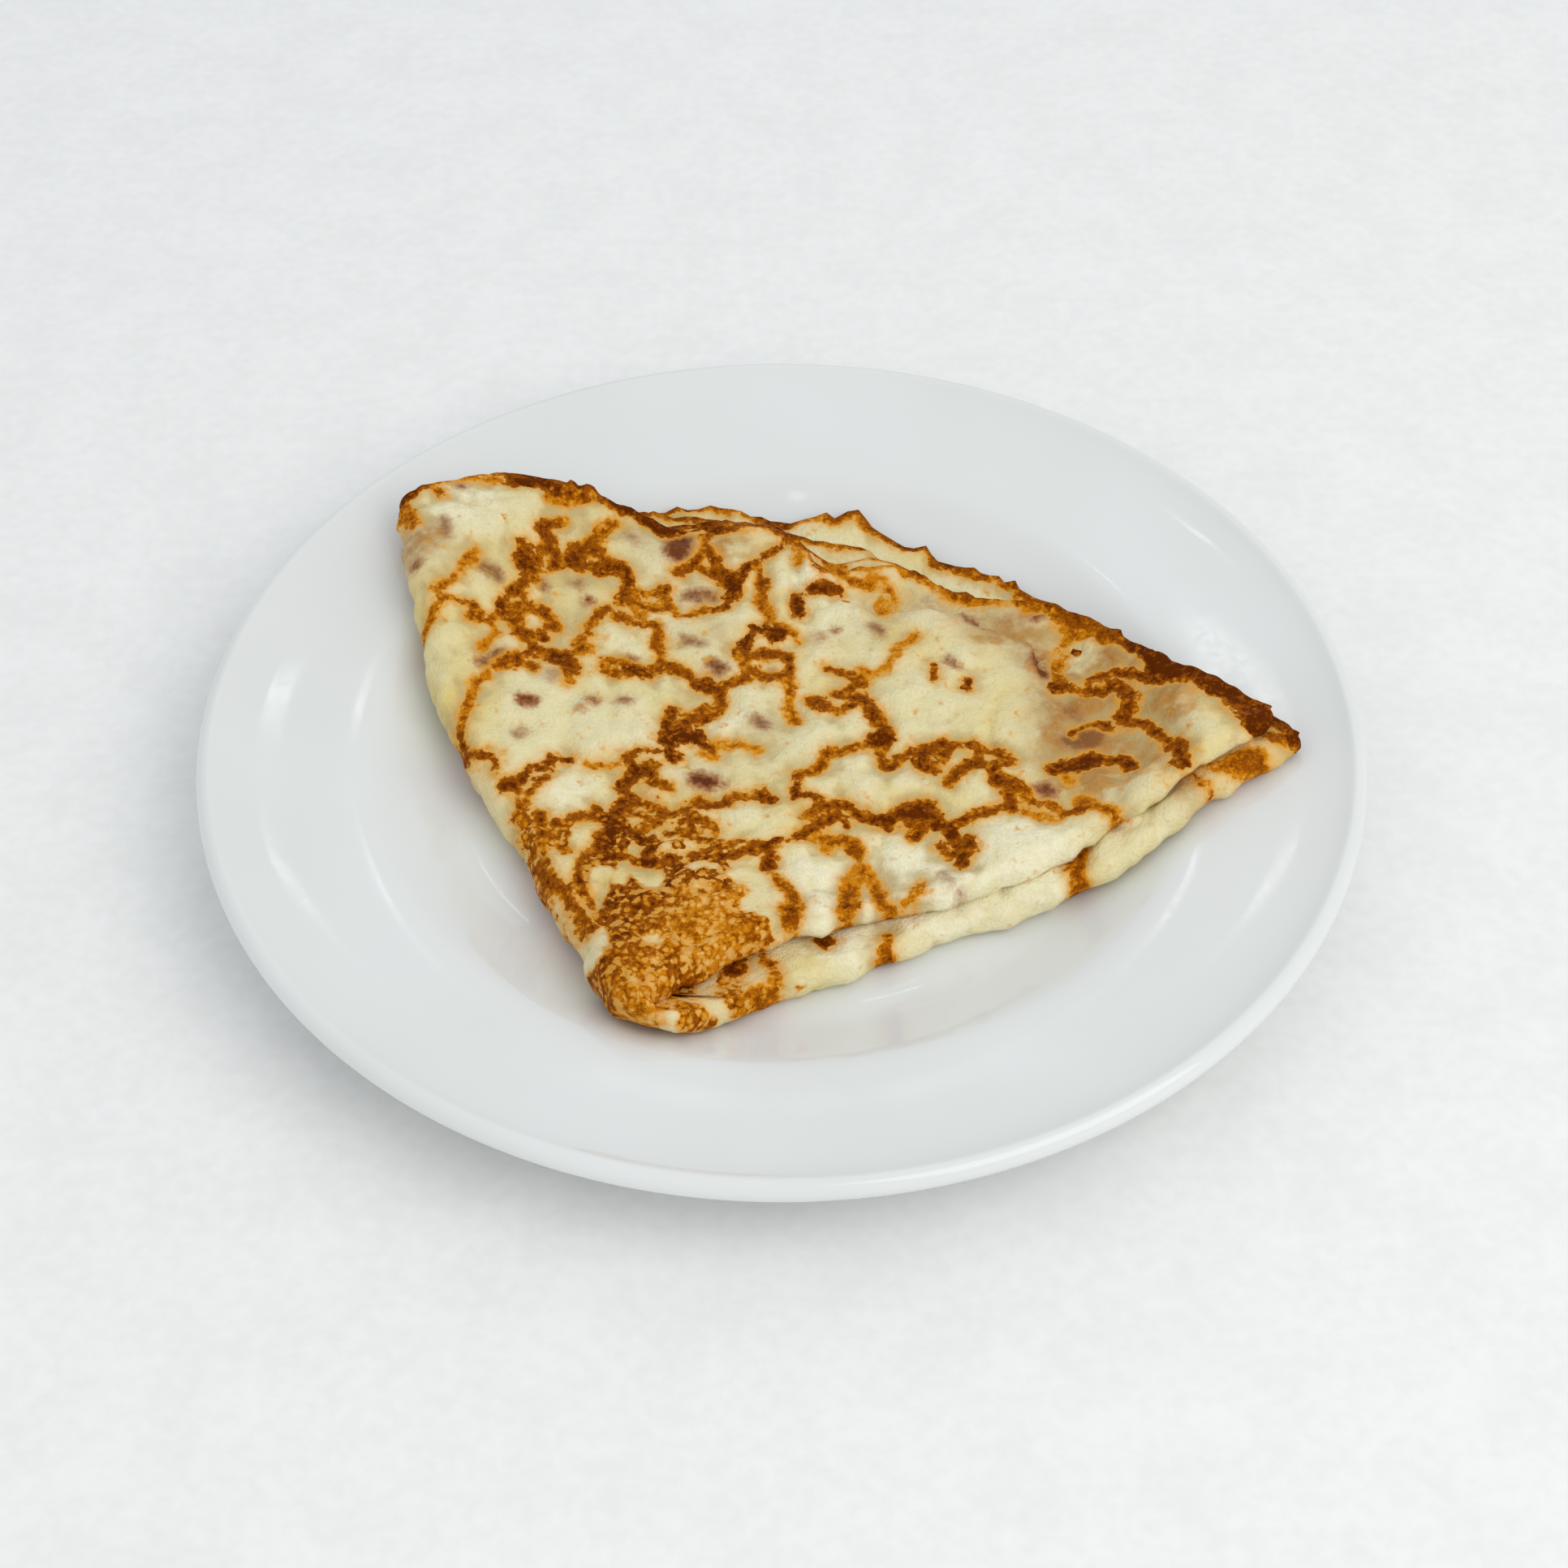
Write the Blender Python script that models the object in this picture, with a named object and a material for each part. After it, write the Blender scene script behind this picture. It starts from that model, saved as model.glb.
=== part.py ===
"""A folded crepe lying on a round dinner plate with a rolled edge.

Two solids are built: the plate, a profile turned about the vertical
axis, and the crepe, one round sheet folded in half and in half again.
Dimensions are in millimetres up to the last step, where they become
metres. The plate is centred on the origin and stands on the plane z = 0.
"""

import bmesh
import bpy
import numpy as np

MM = 0.001

# Plate: radii and heights of the turned profile.
PLATE_SEGMENTS = 72
FOOT_RADIUS = 57.0
FOOT_WIDTH = 3.2
BASE_HEIGHT = 2.8
WELL_RADIUS = 60.5
WELL_HEIGHT = 7.0
BREAK_RADIUS = 75.4
BREAK_HEIGHT = 14.0
RIM_RADIUS = 97.5
RIM_HEIGHT = 16.7
ROLL_RADIUS = 2.3
ROLL_CENTRE = (102.7, 17.2)

# Crepe: one sheet in four layers around a tip, bottom layer first.
TIP = (-20.5, -63.4)
SHEET = 1.5
PITCH = 2.0
EDGE_SHEET = 0.9
FOLD_SPREAD = 1.3
POCKET_DEPTH = 26.0
REST_GAP = 0.35
STACK_SCALE = 1.06
FRONT_PUFF = 0.30
SPINE_PUFF = 0.22
LEDGE_DROP = 0.22
EDGE_PRESS = 0.16

# Nose: near the tip the sheet is laid out in plane sections across an
# axis from the foremost point, and passes over to rings further on.
NOSE = (-20.9, -67.7)
NOSE_BEARING = 78.0
NOSE_LEAD = 4.2
NOSE_LEVEL = 2.9
NOSE_ROUND = (6.0, 12.0)
NOSE_END = (8.0, 24.0)
# Distance beside the axis, to the right, at distances along it.
NOSE_SPINE = (
    (0, 0), (0.2, -2.3), (0.9, -4.0), (3.4, -5.9), (7.7, -7.9),
    (14, -11.9), (22, -18.1), (29, -23.5),
)
NOSE_FRONT = (
    (0, 0), (0.2, 1.4), (1, 2.8), (3.2, 4.6), (5.6, 6.6), (8.8, 9.8),
    (15, 16.2), (24, 27.8), (29, 34.2),
)
NOSE_UPPER = (
    (0, 0), (0.3, -1.1), (1.5, -2.9), (4, -3.1), (7, -1.5),
    (10.5, 0.8), (13, 3.3), (17.5, 7.0), (24.6, 15.6), (29, 21.0),
)

# Grid of the sheet: columns across each layer and each fold, and rows
# as shares of the way from the tip to the raw edge.
LAYER_STEPS = 22
FRONT_STEPS = 5
SPINE_STEPS = 7
NEAR_TIP = (0.005, 0.012, 0.021, 0.031, 0.044, 0.058)
SLOT_ROW = 4
RADIAL_STEPS = 20
NEAR_EDGE = (0.955, 0.985, 1.0)

# Bearing of the lower front fold and of the spine from the tip, in
# degrees, at distances from the tip.
FRONT_BEARING = (
    (0, -45), (5, -24), (8, -3), (12, 10), (20, 20.2), (34, 22.8),
    (50, 24.3), (78, 23.4), (100, 26.0), (128, 27.7),
)
SPINE_BEARING = (
    (0, 175), (4, 160), (8, 143), (15, 127.5), (25, 122.6), (45, 119.6),
    (80, 118.4), (107, 114.7), (132, 112.4),
)
# How far the upper front fold stands back from the lower one.
UPPER_INSET = (
    (0, 5), (8, 8.0), (15, 8.8), (22, 8.4), (28, 8.2), (38, 6.4), (53, 3.0),
    (69, 4.8), (82, 6.0), (94, 5.0), (128, 5.6),
)
# Distance of each layer's raw edge from the tip, at bearings.
RAW_EDGE = (
    ((27, 127.5), (36, 122.5), (46, 121), (60, 126), (69, 127), (76, 131),
     (81, 127.6), (86, 129.6), (91, 127.4), (104, 127), (112, 129.6)),
    ((27, 127.5), (40, 121), (55, 118), (80, 124), (92, 125), (112, 120)),
    ((31, 124.5), (42, 119), (63, 117), (71, 120), (75, 116.4), (79, 121.9),
     (92, 120), (112, 120)),
    ((31, 124.5), (37, 121.4), (46, 120.6), (53, 122), (63, 116.6),
     (68, 118), (74.5, 112.4), (80, 120.6), (89, 118.8), (97, 126.4),
     (105, 131.6), (112, 129.6)),
)
FRONT_ENDS = (28.1, 28.1, 30.6, 30.6)
SPINE_END = 112.1
# Gentle swells and hollows of the stack: x, y, radius, rise.
SWELLS = (
    (-12, -48, 17, 0.42), (-44, 22, 20, 0.16), (-20, 30, 16, -0.10),
    (2, -12, 18, 0.12), (36, -14, 17, 0.14), (8, 26, 15, -0.12),
    (30, 12, 16, 0.14), (62, 4, 14, -0.10), (-36, -8, 15, -0.08),
    (-52, 50, 13, 0.10), (14, -34, 12, -0.10), (74, 2, 10, 0.10),
)


def along(table, value):
    """The table's second column at values of its first, joined smoothly."""
    xs, ys = np.array(table, float).T
    slopes = np.gradient(ys, xs)
    value = np.clip(value, xs[0], xs[-1])
    low = np.clip(np.searchsorted(xs, value) - 1, 0, len(xs) - 2)
    span = xs[low + 1] - xs[low]
    part = (value - xs[low]) / span
    rise = part * part * (3 - 2 * part)
    ends = slopes[low] * (1 - part) - slopes[low + 1] * part
    bend = part * (1 - part) * span * ends
    return ys[low] + (ys[low + 1] - ys[low]) * rise + bend


def step(value, start, end):
    """Zero up to start, one past end, smooth between."""
    part = np.clip((value - start) / (end - start), 0, 1)
    return part * part * (3 - 2 * part)


def hill(x, y, place, size):
    """A round hill of height one at a place."""
    return np.exp(-((x - place[0]) ** 2 + (y - place[1]) ** 2) / size**2)


def roll_points(count):
    """Points over the rolled edge of the plate, from above to below."""
    angles = np.radians(np.linspace(100, -80, count))
    across = ROLL_CENTRE[0] + ROLL_RADIUS * np.cos(angles)
    up = ROLL_CENTRE[1] + ROLL_RADIUS * np.sin(angles)
    return list(zip(across, up))


def plate_profile():
    """Outline from the middle of the well over the rim to the middle of the base."""
    foot_inside = FOOT_RADIUS - FOOT_WIDTH
    well = [
        (0.0, WELL_HEIGHT),
        (WELL_RADIUS - 18, WELL_HEIGHT),
        (WELL_RADIUS - 5, WELL_HEIGHT),
        (WELL_RADIUS, WELL_HEIGHT + 0.5),
        (WELL_RADIUS + 3.6, WELL_HEIGHT + 1.7),
    ]
    slope = [
        (BREAK_RADIUS - 6.5, BREAK_HEIGHT - 3.1),
        (BREAK_RADIUS - 2.2, BREAK_HEIGHT - 0.9),
        (BREAK_RADIUS, BREAK_HEIGHT),
        (BREAK_RADIUS + 3, BREAK_HEIGHT + 0.55),
    ]
    rim = [
        (RIM_RADIUS - 9, RIM_HEIGHT - 1.0),
        (RIM_RADIUS, RIM_HEIGHT),
        (RIM_RADIUS + 2.2, RIM_HEIGHT + 1.0),
        (RIM_RADIUS + 3.6, RIM_HEIGHT + 2.3),
    ]
    underside = [
        (RIM_RADIUS + 2.5, RIM_HEIGHT - 2.6),
        (RIM_RADIUS - 4, RIM_HEIGHT - 4.0),
        (BREAK_RADIUS + 5, BREAK_HEIGHT - 3.6),
        (BREAK_RADIUS, BREAK_HEIGHT - 5.2),
        (FOOT_RADIUS + 5.5, BASE_HEIGHT + 0.7),
        (FOOT_RADIUS + 1.2, BASE_HEIGHT - 0.8),
    ]
    foot = [
        (FOOT_RADIUS, 0.35),
        (FOOT_RADIUS - 0.6, 0.0),
        (foot_inside + 0.6, 0.0),
        (foot_inside, 0.5),
        (foot_inside - 0.7, BASE_HEIGHT - 0.4),
        (foot_inside - 2.5, BASE_HEIGHT),
        (0.0, BASE_HEIGHT),
    ]
    return well + slope + rim + roll_points(8) + underside + foot


def rest_height(x, y):
    """Height of the crepe's underside: flat in the well, bent up to lie on the rim."""
    radius = np.hypot(x, y)
    flat = 44 - 8 * y / np.maximum(radius, 1)
    reach = BREAK_RADIUS - flat
    inner = 7.0 * (np.clip(radius - flat, 0, reach) / reach) ** 2
    slope = (RIM_HEIGHT - BREAK_HEIGHT) / (RIM_RADIUS - BREAK_RADIUS)
    outer = slope * np.clip(radius - BREAK_RADIUS, 0, None)
    bridge = 0.9 * np.exp(-(((radius - BREAK_RADIUS) / 7) ** 2))
    lifted_corner = 1.6 * hill(x, y, (-70, 56), 18)
    return WELL_HEIGHT + REST_GAP + inner + outer + bridge + lifted_corner


def stack_scale(x, y, reach, bearing):
    """How much thicker than pressed flat the stack of layers is at a place."""
    scale = STACK_SCALE + sum(rise * hill(x, y, (cx, cy), size) for cx, cy, size, rise in SWELLS)
    from_front = np.radians(bearing - along(FRONT_BEARING, reach)) * reach
    from_spine = np.radians(along(SPINE_BEARING, reach) - bearing) * reach
    scale = scale + FRONT_PUFF * np.exp(-((from_front / 9) ** 2))
    scale = scale + SPINE_PUFF * np.exp(-((from_spine / 11) ** 2))
    start = 101 + 5 * step(bearing, 66, 54)
    ledge = step(bearing, 40, 50) * (1 - step(bearing, 64, 72))
    scale = scale - LEDGE_DROP * ledge * step(reach, start, start + 7)
    return scale * (1 - EDGE_PRESS * step(reach, 104, 128))


def fold(layer, way, side, angle, start, end, outward):
    """A column of a half-round fold between two heights of the sheet."""
    radius = abs(end - start) / 2
    out = side * np.sin(angle)
    up = np.cos(angle) * np.sign(start - end)
    height = (start + end) / 2 + radius * up
    return (layer, way, radius * out, height, outward * out, outward * up)


def loop_columns():
    """The closed path of the sheet around the stack, one row of values a column.

    The values are the layer, the way across the wedge from 0 at the
    front to 1 at the spine, the sideways offset of the middle of the
    sheet, its height, and the direction from the inner to the outer
    face as sideways and up.
    """
    way = np.linspace(0, 1, LAYER_STEPS + 1)
    front = np.pi * np.arange(1, FRONT_STEPS + 1) / (FRONT_STEPS + 1)
    spine = np.pi * np.arange(1, SPINE_STEPS + 1) / (SPINE_STEPS + 1)
    level = SHEET / 2 + PITCH * np.arange(4)
    columns = [(0, w, 0, level[0], 0, -1) for w in way[::-1]]
    columns += [fold(0, 0, -1, a, level[0], level[1], 1) for a in front]
    columns += [(1, w, 0, level[1], 0, 1) for w in way]
    columns += [fold(1, 1, 1, a, level[1], level[2], -1) for a in spine]
    columns += [(2, w, 0, level[2], 0, -1) for w in way[::-1]]
    columns += [fold(2, 0, -1, a, level[2], level[3], 1) for a in front]
    columns += [(3, w, 0, level[3], 0, 1) for w in way]
    columns += [fold(3, 1, 1, a, level[3], level[0], 1) for a in spine]
    return np.array(columns, float)


def crepe_points(columns, share, face):
    """Points of the sheet at shares of the way from the tip to the raw edge.

    face is 1 for the outer face, -1 for the inner one and 0 for the
    middle of the sheet.
    """
    layer, way, offset, height, normal_out, normal_up = columns.T
    layer = layer.astype(int)
    upper = layer >= 2
    front_end = np.array(FRONT_ENDS)[layer]
    end_bearing = front_end + (SPINE_END - front_end) * way
    raw = np.empty(len(columns))
    for index in range(4):
        raw[layer == index] = along(RAW_EDGE[index], end_bearing[layer == index])
    reach = share[:, None] * raw[None, :]
    front = along(FRONT_BEARING, reach)
    spine = along(SPINE_BEARING, reach)
    width = np.radians(spine - front) * reach
    inset = upper * np.minimum(along(UPPER_INSET, reach), 0.45 * width)
    start = front + np.degrees(inset / np.maximum(reach, 0.5))
    bearing = start + (spine - start) * way
    thinning = 1 - (1 - EDGE_SHEET / SHEET) * step(reach, raw - 7, raw)
    half = SHEET / 2 * thinning * face
    spread = np.where(way > 0.5, 1.0, FOLD_SPREAD)
    level = height + half * normal_up
    rounding = np.interp(level, (0, 7.5), NOSE_ROUND)
    opened = np.clip(nose_distance(reach) / rounding, 0, 1)
    swell = np.sqrt(1 - (1 - opened) ** 2)
    sideways = (offset + half * normal_out) * swell * spread
    level = NOSE_LEVEL + (level - NOSE_LEVEL) * swell
    turn = np.radians(bearing)
    x = TIP[0] + reach * np.cos(turn) - sideways * np.sin(turn)
    y = TIP[1] + reach * np.sin(turn) + sideways * np.cos(turn)
    nose_x, nose_y = nose_points(reach, way, upper, sideways)
    nose = 1 - step(reach, *NOSE_END)
    x = x + (nose_x - x) * nose
    y = y + (nose_y - y) * nose
    z = rest_height(x, y) + stack_scale(x, y, reach, bearing) * level
    return np.stack([x, y, z], 2)


def nose_distance(reach):
    """Distance back from the foremost point, for a distance from the tip."""
    return reach + NOSE_LEAD * step(reach, 0, 14)


def nose_points(reach, way, upper, sideways):
    """Plan position of the sheet near the tip, in sections across the nose's axis."""
    ahead = nose_distance(reach)
    front = np.where(upper, along(NOSE_UPPER, ahead), along(NOSE_FRONT, ahead))
    beside = front + (along(NOSE_SPINE, ahead) - front) * way - sideways
    axis = np.radians(NOSE_BEARING)
    x = NOSE[0] + ahead * np.cos(axis) + beside * np.sin(axis)
    y = NOSE[1] + ahead * np.sin(axis) - beside * np.cos(axis)
    return x, y


def pocket_partners(count):
    """For each column, the column that faces it across the pocket."""
    half = 2 * (LAYER_STEPS + 1) + FRONT_STEPS
    partner = np.empty(count, int)
    first = np.arange(half)
    partner[first] = half - 1 - first
    inner = half + np.arange(SPINE_STEPS)
    outer = 2 * half + SPINE_STEPS + np.arange(SPINE_STEPS)
    partner[inner] = outer[::-1]
    partner[outer] = inner[::-1]
    second = half + SPINE_STEPS + first
    partner[second] = second[::-1]
    return partner


def slot_partners(count):
    """For each column of the two middle layers, the one facing it across the slot."""
    start = LAYER_STEPS + 1 + FRONT_STEPS
    slot = start + np.arange(2 * (LAYER_STEPS + 1) + SPINE_STEPS)
    partner = np.arange(count)
    partner[slot] = slot[::-1]
    return partner


def crepe_mesh():
    """Vertices and faces of the folded sheet as one closed body.

    The outer face runs from the tip to the raw edge, with a slot between
    the lower and the upper pair of layers that starts a little way from
    the tip. The inner face reaches in from the raw edge as a pocket, and
    closes where the two layers that it parts lie against each other.
    """
    columns = loop_columns()
    count = len(columns)
    shares = np.linspace(NEAR_TIP[-1], NEAR_EDGE[0], RADIAL_STEPS + 1)[1:-1]
    shares = np.concatenate([NEAR_TIP, shares, NEAR_EDGE])
    outer = crepe_points(columns, shares, 1)
    edge = crepe_points(columns, np.array([1.0035]), 0)
    depth = 1 - POCKET_DEPTH / 125
    inner = crepe_points(columns, np.array([1.0, 0.985, 0.955, 0.90, 0.85, depth]), -1)
    across_pocket = pocket_partners(count)
    across_slot = slot_partners(count)
    inner[-1] = (inner[-1] + inner[-1][across_pocket]) / 2
    seam = (outer[SLOT_ROW] + outer[SLOT_ROW][across_slot]) / 2
    upper = np.flatnonzero(columns[:, 0] == 2)[: LAYER_STEPS + 1]
    seam[across_slot[upper], :2] = outer[SLOT_ROW, upper, :2]
    outer[SLOT_ROW] = seam
    tip = crepe_points(columns[:1], np.array([0.0]), 0)[0]
    grid = np.concatenate([outer, edge, inner], 0)
    vertices = np.concatenate([grid.reshape(-1, 3), tip])
    joined = np.arange(len(vertices))
    everyone = np.arange(count)
    for row, partner in ((SLOT_ROW, across_slot), (len(grid) - 1, across_pocket)):
        joined[row * count + everyone] = row * count + np.minimum(everyone, partner)
    slot = np.flatnonzero(across_slot != everyone)
    around_slot = np.delete(everyone, np.arange(slot[0] + 1, slot[-1] + 1))
    faces = []
    for row in range(len(grid) - 1):
        ring = around_slot if row < SLOT_ROW else everyone
        low, high = row * count + ring, (row + 1) * count + ring
        faces += list(zip(low, high, np.roll(high, -1), np.roll(low, -1)))
    pole = np.full(len(around_slot), len(vertices) - 1)
    faces += list(zip(pole, around_slot, np.roll(around_slot, -1)))
    return vertices, [tuple(joined[list(face)]) for face in faces]


def material(name, colour, roughness):
    """A plain Principled material."""
    made = bpy.data.materials.new(name)
    made.use_nodes = True
    shader = made.node_tree.nodes["Principled BSDF"]
    shader.inputs["Base Color"].default_value = (*colour, 1)
    shader.inputs["Roughness"].default_value = roughness
    shader.inputs["Metallic"].default_value = 0.0
    made.diffuse_color = (*colour, 1)
    return made


def place(name, mesh, surface):
    """An object of the mesh in the scene, with its material."""
    mesh.materials.append(surface)
    made = bpy.data.objects.new(name, mesh)
    bpy.context.scene.collection.objects.link(made)
    return made


def make_plate(surface):
    """The plate: its profile turned about the z axis."""
    outline = bmesh.new()
    points = [outline.verts.new((r * MM, 0, z * MM)) for r, z in plate_profile()]
    for first, second in zip(points, points[1:]):
        outline.edges.new((first, second))
    mesh = bpy.data.meshes.new("plate")
    outline.to_mesh(mesh)
    outline.free()
    plate = place("plate", mesh, surface)
    turn = plate.modifiers.new("turn", "SCREW")
    turn.steps = PLATE_SEGMENTS
    turn.render_steps = PLATE_SEGMENTS
    turn.use_merge_vertices = True
    turn.merge_threshold = 0.00001
    turn.use_smooth_shade = True


def make_crepe(surface):
    """The crepe: the folded sheet, without the grid points that no face uses."""
    vertices, faces = crepe_mesh()
    mesh = bpy.data.meshes.new("crepe")
    mesh.from_pydata((vertices * MM).tolist(), [], faces)
    tidy = bmesh.new()
    tidy.from_mesh(mesh)
    loose = [vertex for vertex in tidy.verts if not vertex.link_faces]
    bmesh.ops.delete(tidy, geom=loose, context="VERTS")
    tidy.to_mesh(mesh)
    tidy.free()
    mesh.shade_smooth()
    place("crepe", mesh, surface)


def main():
    for old in list(bpy.data.objects):
        bpy.data.objects.remove(old, do_unlink=True)
    make_plate(material("porcelain_glaze", (0.80, 0.81, 0.80), 0.12))
    make_crepe(material("cooked_batter", (0.82, 0.66, 0.36), 0.45))


main()
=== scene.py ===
"""Plate of crepe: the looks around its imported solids, laid out as an add-on and run as a script.

The frame gives two solids, the plate and the folded crepe. Each is replaced by
a finer surface of the same form: the plate's profile turned on a grid, and the
folded sheet with its swells, blisters, ragged rim and browned lace. Lengths in
this file are millimetres until a mesh is made; the scene is in metres.
"""

import bpy
import numpy as np
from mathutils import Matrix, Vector


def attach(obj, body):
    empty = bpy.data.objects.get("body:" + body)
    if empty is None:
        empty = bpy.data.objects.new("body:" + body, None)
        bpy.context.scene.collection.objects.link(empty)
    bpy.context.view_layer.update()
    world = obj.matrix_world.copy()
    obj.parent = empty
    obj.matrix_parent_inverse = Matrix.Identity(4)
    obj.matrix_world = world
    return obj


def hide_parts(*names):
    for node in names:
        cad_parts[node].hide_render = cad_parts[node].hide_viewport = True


bl_info = {
    "name": "Plate of Crepe",
    "version": (1, 0, 0),
    "blender": (4, 5, 0),
    "location": "3D View > Sidebar > Crepe",
    "description": "Builds a folded crepe on a rolled-edge plate around its packed solids",
    "category": "Object",
}

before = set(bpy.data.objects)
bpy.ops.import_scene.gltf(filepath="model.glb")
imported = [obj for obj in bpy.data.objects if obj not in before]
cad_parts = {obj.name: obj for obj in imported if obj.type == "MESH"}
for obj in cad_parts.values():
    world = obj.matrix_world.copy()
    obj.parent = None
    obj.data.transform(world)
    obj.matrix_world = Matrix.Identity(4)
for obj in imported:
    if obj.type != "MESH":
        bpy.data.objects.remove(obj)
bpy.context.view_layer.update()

MM = 0.001
HALF = 0.5  # the middle of noise that runs from 0 to 1

# ----------------------------------------------------------------- plate form

FOOT_RADIUS = 57.0
FOOT_WIDTH = 3.2
BASE_HEIGHT = 2.8
WELL_RADIUS = 60.5
WELL_HEIGHT = 7.0
BREAK_RADIUS = 75.4
BREAK_HEIGHT = 14.0
RIM_RADIUS = 97.5
RIM_HEIGHT = 16.7
ROLL_RADIUS = 2.3
ROLL_CENTRE = (102.7, 17.2)

# ----------------------------------------------------------------- crepe form

# The tip, the thickness of the sheet and the height from one layer to the next, then
# how far the stack stands off the plate and how it puffs at its folds and thins at its edge.
TIP = (-20.5, -63.4)
SHEET = 1.5
PITCH = 2.0
EDGE_SHEET = 0.9
FOLD_SPREAD = 1.3
POCKET_DEPTH = 26.0
REST_GAP = 0.35
STACK_SCALE = 1.06
FRONT_PUFF = 0.30
SPINE_PUFF = 0.22
LEDGE_DROP = 0.22
EDGE_PRESS = 0.16
# Where the crepe lies flat in the well, and how it climbs the wall and lifts its left corner.
FLAT_RADIUS = 44
FLAT_SHIFT = 8
WALL_CLIMB = 7.0
BRIDGE = (0.9, 7)
LIFTED_CORNER = (1.6, (-70, 56), 18)

# The nose is the rounded end at the tip: distance back from its foremost point, then
# how far the spine, the lower front and the upper front stand to the side there.
NOSE = (-20.9, -67.7)
NOSE_BEARING = 78.0
NOSE_LEAD = 4.2
NOSE_LEVEL = 2.9
NOSE_ROUND = (6.0, 12.0)
NOSE_END = (8.0, 24.0)
SQUARE_END = (5.0, 54.0)
NOSE_SPINE = (
    (0, 0), (0.2, -2.3), (0.9, -4.0), (3.4, -5.9), (7.7, -7.9),
    (14, -11.9), (22, -18.1), (29, -23.5),
)
NOSE_FRONT = (
    (0, 0), (0.2, 1.4), (1, 2.8), (3.2, 4.6), (5.6, 6.6), (8.8, 9.8),
    (15, 16.2), (24, 27.8), (29, 34.2),
)
NOSE_UPPER = (
    (0, 0), (0.3, -1.1), (1.5, -2.9), (4, -3.1), (7, -1.5),
    (10.5, 0.8), (13, 3.3), (17.5, 7.0), (24.6, 15.6), (29, 21.0),
)
# Bearings in degrees of the front and the spine by distance from the tip, and how far the
# upper front fold stands back from the lower one.
FRONT_BEARING = (
    (0, -45), (5, -24), (8, -3), (12, 10), (20, 20.2), (34, 22.8),
    (50, 24.3), (78, 23.4), (100, 26.0), (128, 27.7),
)
SPINE_BEARING = (
    (0, 175), (4, 160), (8, 143), (15, 127.5), (25, 122.6), (45, 119.6),
    (80, 118.4), (107, 114.7), (132, 112.4),
)
UPPER_INSET = (
    (0, 5), (8, 8.0), (15, 8.8), (22, 8.4), (28, 8.2), (38, 6.4), (53, 3.0),
    (69, 4.8), (82, 6.0), (94, 5.0), (128, 5.6),
)
# Knobs of thicker batter on the raw edges: layer, x, y, half width in degrees, length.
KNOBS = (
    (3, -36, 60.5, 0.70, 1.5), (0, 6.4, 56.1, 0.75, 1.5),
    (0, 11.2, 55.1, 0.95, 1.4), (0, 25.7, 49.1, 0.60, 1.2),
)
# Raw edge of each layer: bearing from the tip in degrees, distance from the tip.
RAW_EDGE = (
    ((27, 127.5), (36, 122.5), (46, 121), (60, 126), (69, 127), (76, 131),
     (81, 127.6), (86, 129.6), (91, 127.4), (104, 127), (112, 129.6)),
    ((27, 127.5), (40, 121), (55, 118), (80, 124), (92, 125), (112, 120)),
    ((31, 124.5), (42, 119), (63, 117), (71, 120), (75, 116.4), (79, 121.9),
     (92, 120), (112, 120)),
    ((31, 124.5), (37, 121.4), (46, 120.6), (53, 122), (63, 116.6),
     (68, 118), (74.5, 112.4), (80, 120.6), (89, 118.8), (97, 126.4),
     (105, 131.6), (112, 129.6)),
)
FRONT_ENDS = (28.1, 28.1, 30.6, 30.6)
SPINE_END = 112.1
# Broad swells and dips of the whole stack: x, y, radius, share added to its thickness.
SWELLS = (
    (-12, -48, 17, 0.42), (-44, 22, 20, 0.16), (-20, 30, 16, -0.10), (2, -12, 18, 0.12),
    (36, -14, 17, 0.14), (8, 26, 15, -0.12), (30, 12, 16, 0.14), (62, 4, 14, -0.10),
    (-36, -8, 15, -0.08), (-52, 50, 13, 0.10), (14, -34, 12, -0.10), (74, 2, 10, 0.10),
)

# How far the raw edges of the top layer and of the others curl up.
EDGE_CURL = (0.8, 0.35)
# Grid of the fine sheet.
HIDDEN_STEPS = 116
TOP_STEPS = 244
FRONT_STEPS = 12
INNER_SPINE_STEPS = 7
OUTER_SPINE_STEPS = 22
NEAR_TIP = (
    0.003, 0.0065, 0.0105, 0.015, 0.020, 0.026, 0.032, 0.038, 0.044, 0.050, 0.057,
)
SLOT_ROW = 8
BODY_ROWS = 100
RIM_ROWS = 22
RIM_START = 0.90


# -------------------------------------------------------------- browned marks

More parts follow.
